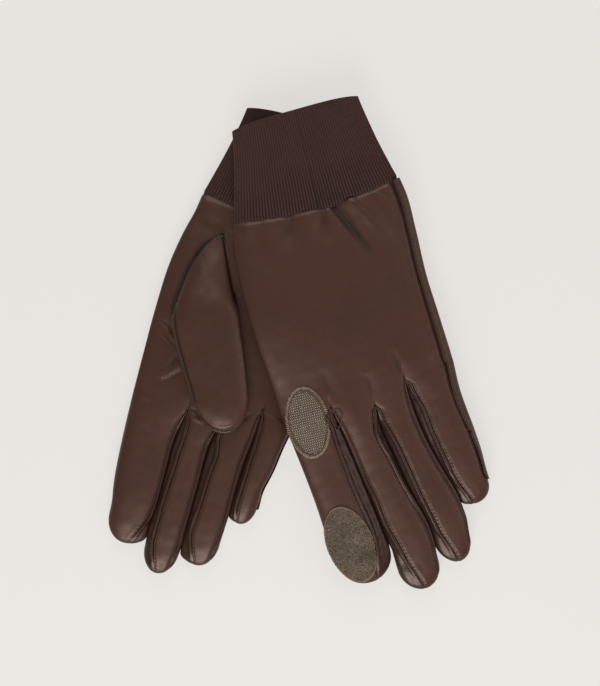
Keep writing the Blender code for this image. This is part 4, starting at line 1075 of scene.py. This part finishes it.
def hook_parts(ground):
    """Rows of small hooks standing on the woven tape."""
    centre, length, width, turn = PATCHES["hook"]
    turn += 4.0
    lean = math.radians(turn)
    along_row, between_rows = HOOK_PITCH
    curl = np.linspace(0.0, 1.25 * math.pi, 7)[:, None]
    rng = np.random.default_rng(7)
    parts = []
    for row in np.arange(-length, length, between_rows):
        for number, column in enumerate(np.arange(-width, width, along_row)):
            across = column + along_row * 0.5 * (int(round(row / between_rows)) % 2)
            if (row / (length - HOOK_MARGIN)) ** 2 + (across / (width - HOOK_MARGIN)) ** 2 > 1.0:
                continue
            place, normal = patch_frame(ground, *leaned(centre, turn, across, row), PATCH_RAISE - 0.08)
            side = 1.0 if number % 2 else -1.0
            way = np.array([math.sin(lean) * side, math.cos(lean) * side, 0.0]) + rng.normal(0.0, 0.12, 3)
            size = 0.40 + 0.04 * rng.random()
            line = place + np.sin(curl) * size * 0.7425 * normal
            line = line + ((1.0 - np.cos(curl)) * size * 0.62 - 0.3) * way
            parts.append(tube(line, HOOK_RADIUS, 5))
    return parts


def fuzz_parts(ground):
    """Tangled loops of brushed yarn."""
    rng = np.random.default_rng(19)
    ring = np.sqrt(rng.random(FUZZ_LOOPS)) * 0.975
    angle = rng.random(FUZZ_LOOPS) * 2.0 * math.pi
    curl = np.linspace(0.0, math.pi, 7)[:, None]
    parts = []
    for place, normal in zip(*patch_frame(ground, *patch_place("loop", ring, angle), PATCH_RAISE - 0.05)):
        turn = rng.random() * 2.0 * math.pi
        way = np.array([math.cos(turn), math.sin(turn), 0.0])
        span, high = rng.uniform(0.45, 1.15), rng.uniform(0.12, 0.52)
        twist = np.array([-way[1], way[0], 0.0]) * rng.normal(0.0, 0.25)
        line = place - np.cos(curl) * span * 0.5 * way + np.sin(curl) * high * normal
        parts.append(tube(line + np.sin(2.0 * curl) * 0.5 * twist, FUZZ_RADIUS, 4))
    return parts


# ---- materials
def shader_tree(name, kind):
    """New material with one shader node of the given kind on its surface."""
    mat = bpy.data.materials.new(name)
    mat.use_nodes = True
    tree = mat.node_tree
    tree.nodes.clear()
    out = tree.nodes.new("ShaderNodeOutputMaterial")
    shader = tree.nodes.new(kind)
    tree.links.new(shader.outputs[0], out.inputs["Surface"])
    return mat, tree, shader


def texture(tree, kind, scale, **inputs):
    """Texture node in object space, in metres; scale is in features per metre."""
    place = tree.nodes.get("place")
    if place is None:
        place = tree.nodes.new("ShaderNodeTexCoord")
        place.name = "place"
    node = tree.nodes.new(kind)
    tree.links.new(place.outputs["Object"], node.inputs["Vector"])
    node.inputs["Scale"].default_value = scale
    for name, value in inputs.items():
        node.inputs[name].default_value = value
    return node


def remap(tree, value, low, high, new_low, new_high):
    node = tree.nodes.new("ShaderNodeMapRange")
    tree.links.new(value, node.inputs["Value"])
    for name, number in (("From Min", low), ("From Max", high), ("To Min", new_low), ("To Max", new_high)):
        node.inputs[name].default_value = number
    return node.outputs["Result"]


def blend_colour(tree, factor, first, second):
    """Mix of two colours, given as numbers or sockets."""
    node = tree.nodes.new("ShaderNodeMix")
    node.data_type = "RGBA"
    tree.links.new(factor, node.inputs["Factor"])
    for socket, colour in ((node.inputs[6], first), (node.inputs[7], second)):
        if isinstance(colour, tuple):
            socket.default_value = (*colour, 1.0)
        else:
            tree.links.new(colour, socket)
    return node.outputs[2]


def bump(tree, shader, heights):
    """Chain of bump nodes: (height socket, distance in metres, strength)."""
    last = None
    for height, distance, strength in heights:
        node = tree.nodes.new("ShaderNodeBump")
        node.inputs["Distance"].default_value = distance
        node.inputs["Strength"].default_value = strength
        tree.links.new(height, node.inputs["Height"])
        if last is not None:
            tree.links.new(last, node.inputs["Normal"])
        last = node.outputs["Normal"]
    tree.links.new(last, shader.inputs["Normal"])


def painted_shade_mask(tree, low, high):
    """Painted shade mask: 1 where the most shade is painted into seams, folds, finger gaps and rib grooves, 0
    elsewhere, from the piece's point attribute.
    """
    node = tree.nodes.new("ShaderNodeAttribute")
    node.attribute_name = "painted_shade"
    return remap(tree, node.outputs["Fac"], high, low, 0.0, 1.0)


def mottled_material(name, colours, roughness, cloud, fine, painted_shade, specular, sheen=0.0):
    """Skin or yarn with two tones in clouds, and a deep one in its fine marks and, as painted shade, in its
    hollows.

    Both textures start with features per metre, detail and noise roughness.  cloud goes on with the low and
    high values that count, and fine with its high value, its most darkening and its spread of roughness.
    """
    colour, tint, deep = colours
    mat, tree, shader = shader_tree(name, "ShaderNodeBsdfPrincipled")
    scale, detail, rough, low, high = cloud
    clouds = texture(tree, "ShaderNodeTexNoise", scale, Detail=detail, Roughness=rough).outputs["Fac"]
    base = blend_colour(tree, remap(tree, clouds, low, high, 0.0, 1.0), colour, tint)
    scale, detail, rough, high, most, spread = fine
    marks = texture(tree, "ShaderNodeTexNoise", scale, Detail=detail, Roughness=rough).outputs["Fac"]
    base = blend_colour(tree, remap(tree, marks, 0.35, high, 0.0, most), base, deep)
    # Painted shade: the deep colour laid into seams, folds, gaps and grooves by the point attribute.
    if painted_shade is not None:
        base = blend_colour(tree, painted_shade_mask(tree, *painted_shade), base, deep)
    tree.links.new(base, shader.inputs["Base Color"])
    gloss = remap(tree, marks, 0.3, 0.7, roughness - spread, roughness + 0.06)
    tree.links.new(gloss, shader.inputs["Roughness"])
    shader.inputs["Specular IOR Level"].default_value = specular
    shader.inputs["Sheen Weight"].default_value = sheen
    return mat, tree, shader, clouds, marks


def leather_material(name, colour, tint, deep, roughness):
    """Smooth glove leather: fine grain, faint mottling, redder where it is handled, and painted shade in its
    seams, folds and gaps.
    """
    mat, tree, shader, _, marks = mottled_material(
        name, (colour, tint, deep), roughness, (26.0, 4.0, 0.55, 0.36, 0.64),
        (420.0, 3.0, 0.6, 0.75, 0.22, 0.05), (-0.62, -0.06), 0.5)
    grain = texture(tree, "ShaderNodeTexVoronoi", 1500.0)
    pores = texture(tree, "ShaderNodeTexNoise", 2600.0, Detail=2.0)
    shader.inputs["Specular Tint"].default_value = (1.0, 0.80, 0.70, 1.0)
    bump(tree, shader, ((grain.outputs["Distance"], 0.00005, 0.20), (pores.outputs["Fac"], 0.00004, 0.22),
                        (marks, 0.00010, 0.30)))
    return mat


def yarn_material(name, colour, tint, deep, roughness, sheen, fibres, painted_shade=None):
    """Matte yarn: fibres, colour variation and, where a range is given, painted shade in its hollows; fibres
    is how many there are in a metre.
    """
    mat, tree, shader, clouds, marks = mottled_material(
        name, (colour, tint, deep), roughness, (90.0, 3.0, 0.5, 0.3, 0.7), (fibres, 4.0, 0.7, 0.7, 0.6, 0.06),
        painted_shade, 0.2, sheen)
    shader.inputs["Sheen Roughness"].default_value = 0.5
    bump(tree, shader, ((marks, 0.00012, 0.5), (clouds, 0.0001, 0.2)))
    return mat


LEATHER_SKIN = leather_material("nappa_leather", (0.0455, 0.0176, 0.0114), (0.0540, 0.0188, 0.0124),
                                (0.0150, 0.0052, 0.0036), 0.40)
# The sidewall leather is a darker copy of the same nappa leather: painted shade for the gaps between fingers
# that it lines.
SHADED_WALL_LEATHER = leather_material("nappa_leather_shaded_copy", (0.0330, 0.0120, 0.0080), (0.0270, 0.0105, 0.0076),
                             (0.0090, 0.0032, 0.0024), 0.33)
# The knit's deep colour is also painted shade in its rib grooves, over this range of the point attribute.
KNIT_YARN = yarn_material("rib_knit_yarn", (0.0720, 0.0290, 0.0215), (0.0590, 0.0245, 0.0190),
                          (0.0100, 0.0038, 0.0031), 0.85, 0.08, 2400.0, (-0.42, -0.02))
THREAD = yarn_material("sewing_thread", (0.0200, 0.0080, 0.0058), (0.0170, 0.0070, 0.0052),
                       (0.0120, 0.0050, 0.0040), 0.7, 0.1, 3000.0)
TAPE_GROUND = yarn_material("hook_tape_ground", (0.1050, 0.0780, 0.0560), (0.0900, 0.0660, 0.0480),
                            (0.0400, 0.0270, 0.0190), 0.9, 0.05, 2600.0)
HOOK_YARN = yarn_material("hook_filament", (0.6600, 0.5600, 0.4600), (0.5600, 0.4700, 0.3800),
                          (0.2200, 0.1700, 0.1350), 0.55, 0.0, 3200.0)
RIM_YARN = yarn_material("overlock_thread", (0.4300, 0.3500, 0.2700), (0.3000, 0.2300, 0.1700),
                         (0.1200, 0.0850, 0.0600), 0.8, 0.05, 2600.0)
PATCH_THREAD = yarn_material("patch_sewing_thread", (0.1900, 0.0800, 0.0480), (0.1500, 0.0640, 0.0390),
                             (0.0700, 0.0290, 0.0180), 0.7, 0.0, 3000.0)
LOOP_GROUND = yarn_material("loop_tape_ground", (0.0800, 0.0600, 0.0400), (0.0600, 0.0450, 0.0310),
                            (0.0280, 0.0200, 0.0130), 0.9, 0.1, 2200.0)
LOOP_YARN = yarn_material("loop_yarn", (0.3500, 0.2750, 0.1900), (0.1700, 0.1300, 0.0880),
                          (0.0750, 0.0550, 0.0370), 0.85, 0.1, 1500.0)


# ---- assembly
def stand_for(item, slot, bodies, *nodes, bend=()):
    """Hides the CAD parts that a piece stands for; it rides its one body, or with bend it only has its
    transform baked.  slot is not used.
    """
    if nodes:
        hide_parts(*nodes)
    if bend:
        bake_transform(item)
    else:
        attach(item, *bodies)


def fold_reach():
    """Distance from the index finger's root line to the fold of its fold-back tip."""
    root_v, _, _, centre, _ = finger_spine(LEFT_HAND, 0)
    reach = FOLD_POINT[1] - root_v
    for _ in range(4):
        u = float(along(centre, reach))
        reach = FOLD_POINT[1] - FOLD_LEAN * (u - FOLD_POINT[0]) - root_v
    return reach


def trank(glove, index_stops):
    """The main piece of leather with its thumb opening; index_stops end its index finger on each face."""
    sheet = Sheet()
    palm = -1 if glove["back_up"] else 1
    for face, index_stop in zip((1, -1), index_stops):
        for ray in range(4):
            strip(glove, sheet, ray, face, stop=None if ray else index_stop,
                  skip=inside_hood(glove) if face == palm else None)
    return sheet.settle()


def quirk(glove, ray, face):
    """Turned edge of leather that runs round a crotch from one seam to the other."""
    turned = []
    for finger, side, order in ((ray, 1, -1), (ray + 1, -1, 1)):
        reach = np.array([0.05, 0.5, 1.2, 2.2, 3.6, 5.2, 7.0, 9.0, 11.0])[::order]
        place = seam_place(glove, finger, side, reach) * (1.0 + 0.25 / half_width(glove, finger, reach))
        turned.append(finger_point(glove, finger, reach, place, face))
    line = np.concatenate(turned)
    run = np.linspace(0.0, math.pi, len(line))
    line[:, 2] += face * (1.25 * np.sin(run) ** 0.8 - 0.65)
    return tube(line, 0.14 + 0.30 * np.sin(run) ** 0.8, 8)


def turned_loop(sheets):
    """Teardrop of turned leather that closes the top of the index finger's sidewall."""
    angle = np.linspace(0.5, 2.5, 60) * math.pi
    across = LOOP_WIDTH * np.cos(angle) * (1.0 - 0.45 * np.sin(angle))
    u, v = leaned(LOOP_CENTRE, LOOP_LEAN, across, LOOP_LENGTH * np.sin(angle))
    level = leather_below(sheets)(u, v)
    level = np.maximum(level, level.max() - LOOP_DROP)
    for _ in range(6):
        level = (np.roll(level, 1) + level + np.roll(level, -1)) / 3.0
    return tube(np.stack([u, v, level + 0.12], -1), LOOP_RADIUS, 8)


def leather_skin(name, glove, sheet, slot, bodies, *nodes, bend=()):
    """Leather or sidewall piece of a settled sheet."""
    thickness, mat = (LEATHER, LEATHER_SKIN) if slot == "leather" else (SIDEWALL, SHADED_WALL_LEATHER)
    stand_for(skin_object(name, glove, sheet, thickness, mat), slot, bodies, *nodes, bend=bend)


def build_glove(glove, body, index_stops=(None, None)):
    """Leather, cuff, sidewalls and quirks of one glove, apart from its thumb and a fold-back fingertip."""
    name = glove["name"]
    main = trank(glove, index_stops)
    leather_skin(f"{name}_trank_leather", glove, main, "leather", [body], f"{name}_back", f"{name}_palm")
    stand_for(stitch_object(f"{name}_seam_stitches", glove, [main]), "leather", [body])
    # The cuff's last values are painted shade for its rib grooves.
    points, faces, depth = cuff_mesh(glove)
    stand_for(add_mesh(f"{name}_cuff_knit", glove, points, faces, KNIT_YARN, depth),
              "rib_knit", [body], f"{name}_cuff")
    for ray, finger in enumerate(FINGER_NAMES):
        for side, word in ((1, "little_side"), (-1, "index_side")):
            if 0 <= ray + side <= 3 and (ray > 0 or index_stops[0] is None):
                walls = wall_sheet(glove, ray, side, finger_rows(glove, ray, WALL_START))
                leather_skin(f"{name}_{finger}_{word}_fourchette", glove, walls, "sidewall_leather", [body],
                             f"{name}_{finger}_{word}_wall")
    for ray, words in enumerate(("index_middle", "middle_ring", "ring_little")):
        points, faces = gather([quirk(glove, ray, face) for face in (1, -1)])
        stand_for(add_mesh(f"{name}_{words}_quirk", glove, points, faces, LEATHER_SKIN),
                  "sidewall_leather", [body], f"{name}_{words}_gusset")
    return main


def fold_ends(span):
    """World points either side of the fold-back line, span mm before and after it."""
    spots = finger_point(LEFT_HAND, 0, np.array([FOLD - span, FOLD + span]), np.zeros(2), 1)
    first, last = to_world(LEFT_HAND, spots)
    middle = 0.5 * (first + last)
    axis = Vector(next(j for j in frame["joints"] if j["name"] == "left_index_fold_back")["axis"])
    way = Vector(last - first)
    way = (way - axis * way.dot(axis)).normalized() * span * MM
    return Vector(middle) - way, Vector(middle) + way


FOLD = fold_reach()
build_glove(RIGHT_HAND, "right_glove")
left_main = build_glove(LEFT_HAND, "left_glove", (INDEX_BACK_START, FOLD))


def index_strip(face, start):
    """Leather of the left index finger from start to its tip."""
    sheet = Sheet()
    strip(LEFT_HAND, sheet, 0, face, start=start)
    return sheet.settle()


def index_wall(start, stop, face):
    """Upper or lower half of the left index finger's sidewall."""
    return wall_sheet(LEFT_HAND, 0, 1, finger_rows(LEFT_HAND, 0, start, stop), (face,))


# The index finger's back is one piece of leather that runs across the fold, and so is the top of its
# sidewall.
finger_back = index_strip(1, INDEX_BACK_START)
band = index_wall(WALL_START, None, 1)
tip_palm = index_strip(-1, FOLD)
BODIES = ["left_glove", "left_index_tip"]
FOLD_BEND = fold_ends(FOLD_SPAN)
leather_skin("left_index_back_leather", LEFT_HAND, finger_back, "leather", BODIES, "left_tip_back",
             bend=FOLD_BEND)
stand_for(stitch_object("left_index_seam_stitches", LEFT_HAND, [finger_back]), "leather", BODIES,
          bend=FOLD_BEND)
leather_skin("left_index_side_band", LEFT_HAND, band, "sidewall_leather", BODIES, bend=FOLD_BEND)
leather_skin("left_index_base_fourchette", LEFT_HAND, index_wall(WALL_START, FOLD, -1), "sidewall_leather",
             BODIES[:1], "left_index_little_side_wall")
leather_skin("left_index_tip_fourchette", LEFT_HAND, index_wall(FOLD, None, -1), "sidewall_leather",
             BODIES[1:], "left_tip_wall")
stand_for(add_mesh("left_index_middle_turned_loop", LEFT_HAND, *turned_loop([left_main, finger_back, band]),
                   LEATHER_SKIN), "sidewall_leather", BODIES[:1])
leather_skin("left_index_tip_palm_leather", LEFT_HAND, tip_palm, "leather", BODIES[1:], "left_tip_palm")
stand_for(stitch_object("left_index_tip_stitches", LEFT_HAND, [tip_palm]), "leather", BODIES[1:])

# The right thumb's pieces are given bend points between the palm and its free end and have their transforms
# baked; the left thumb stays tucked.
for glove in (RIGHT_HAND, LEFT_HAND):
    name = glove["name"]
    sheet = thumb_sheet(glove)
    bodies, bend = ["left_glove"], ()
    if not glove["back_up"]:
        bodies = ["right_glove", "right_thumb"]
        bend = [Vector(to_world(glove, np.array([*thumb_place(glove, -1.0, d), 14.0]))) for d in THUMB_BEND]
    leather = skin_object(f"{name}_thumb_leather", glove, sheet, LEATHER * 0.9, LEATHER_SKIN)
    stitches = stitch_object(f"{name}_thumb_stitches", glove, [sheet])
    stand_for(leather, "leather", bodies, f"{name}_thumb_root", f"{name}_thumb", bend=bend)
    stand_for(stitches, "leather", bodies, bend=bend)

for kind, body, below in (("hook", BODIES[0], [left_main, finger_back]), ("loop", BODIES[1], [finger_back])):
    ground = patch_ground(LEFT_HAND, kind, below)
    hooks = kind == "hook"
    for label, parts, mat in (
            ("tape", [patch_plate(kind, ground)], TAPE_GROUND if hooks else LOOP_GROUND),
            ("pile", hook_parts(ground) if hooks else fuzz_parts(ground), HOOK_YARN if hooks else LOOP_YARN),
            ("rim", patch_rim(kind, ground), RIM_YARN if hooks else LOOP_YARN),
            ("stitches", patch_stitches(kind, ground), PATCH_THREAD)):
        stand_for(add_mesh(f"left_{kind}_{label}", LEFT_HAND, *gather(parts), mat), f"{kind}_tape", [body],
                  *([f"left_{kind}_patch"] if label == "tape" else []))


# ---- floor, light and camera: metres, watts
FLOOR_HALF = 3.0
FLOOR_LEVEL = -0.0004
WORLD_STRENGTH = 0.27
SOFTBOXES = {
    "key": ((-0.05, 1.05, 0.85), 0.9, 6.5),
    "front": ((-0.10, -0.85, 0.75), 0.7, 11.0),
    "side": ((1.05, 0.10, 0.90), 0.9, 3.0),
}
CAMERA_PLACE = (0.0010, -0.00025, 0.983)
CAMERA_LENS = 100.0


def floor_material():
    """Paper that mostly glows, so that it stays an even light grey."""
    mat, tree, mix = shader_tree("studio_floor", "ShaderNodeMixShader")
    mix.inputs["Fac"].default_value = 0.80
    for socket, kind, colour in ((1, "ShaderNodeBsdfDiffuse", (0.800, 0.776, 0.738, 1.0)),
                                 (2, "ShaderNodeEmission", (0.807, 0.783, 0.745, 1.0))):
        node = tree.nodes.new(kind)
        node.inputs["Color"].default_value = colour
        tree.links.new(node.outputs[0], mix.inputs[socket])
    return mat


mesh = bpy.data.meshes.new("studio_floor")
corners = [(x * FLOOR_HALF, y * FLOOR_HALF, FLOOR_LEVEL) for x, y in ((-1, -1), (1, -1), (1, 1), (-1, 1))]
mesh.from_pydata(corners, [], [(0, 1, 2, 3)])
mesh.materials.append(floor_material())
floor = bpy.data.objects.new("studio_floor", mesh)
bpy.context.scene.collection.objects.link(floor)

world = bpy.data.worlds.new("studio")
world.use_nodes = True
sky = world.node_tree.nodes["Background"]
sky.inputs["Color"].default_value = (1.0, 0.99, 0.97, 1.0)
sky.inputs["Strength"].default_value = WORLD_STRENGTH
bpy.context.scene.world = world

for name, (place, size, power) in SOFTBOXES.items():
    light = bpy.data.lights.new(name, "AREA")
    light.size = size
    light.energy = power
    item = bpy.data.objects.new(name, light)
    item.location = place
    item.rotation_euler = (-Vector(place)).to_track_quat("-Z", "Y").to_euler()
    bpy.context.scene.collection.objects.link(item)

camera = bpy.data.cameras.new("camera")
camera.type = "PERSP"
camera.lens = CAMERA_LENS
eye = bpy.data.objects.new("camera", camera)
eye.location = CAMERA_PLACE
bpy.context.scene.collection.objects.link(eye)
bpy.context.scene.camera = eye
bpy.context.scene.view_settings.view_transform = "Standard"
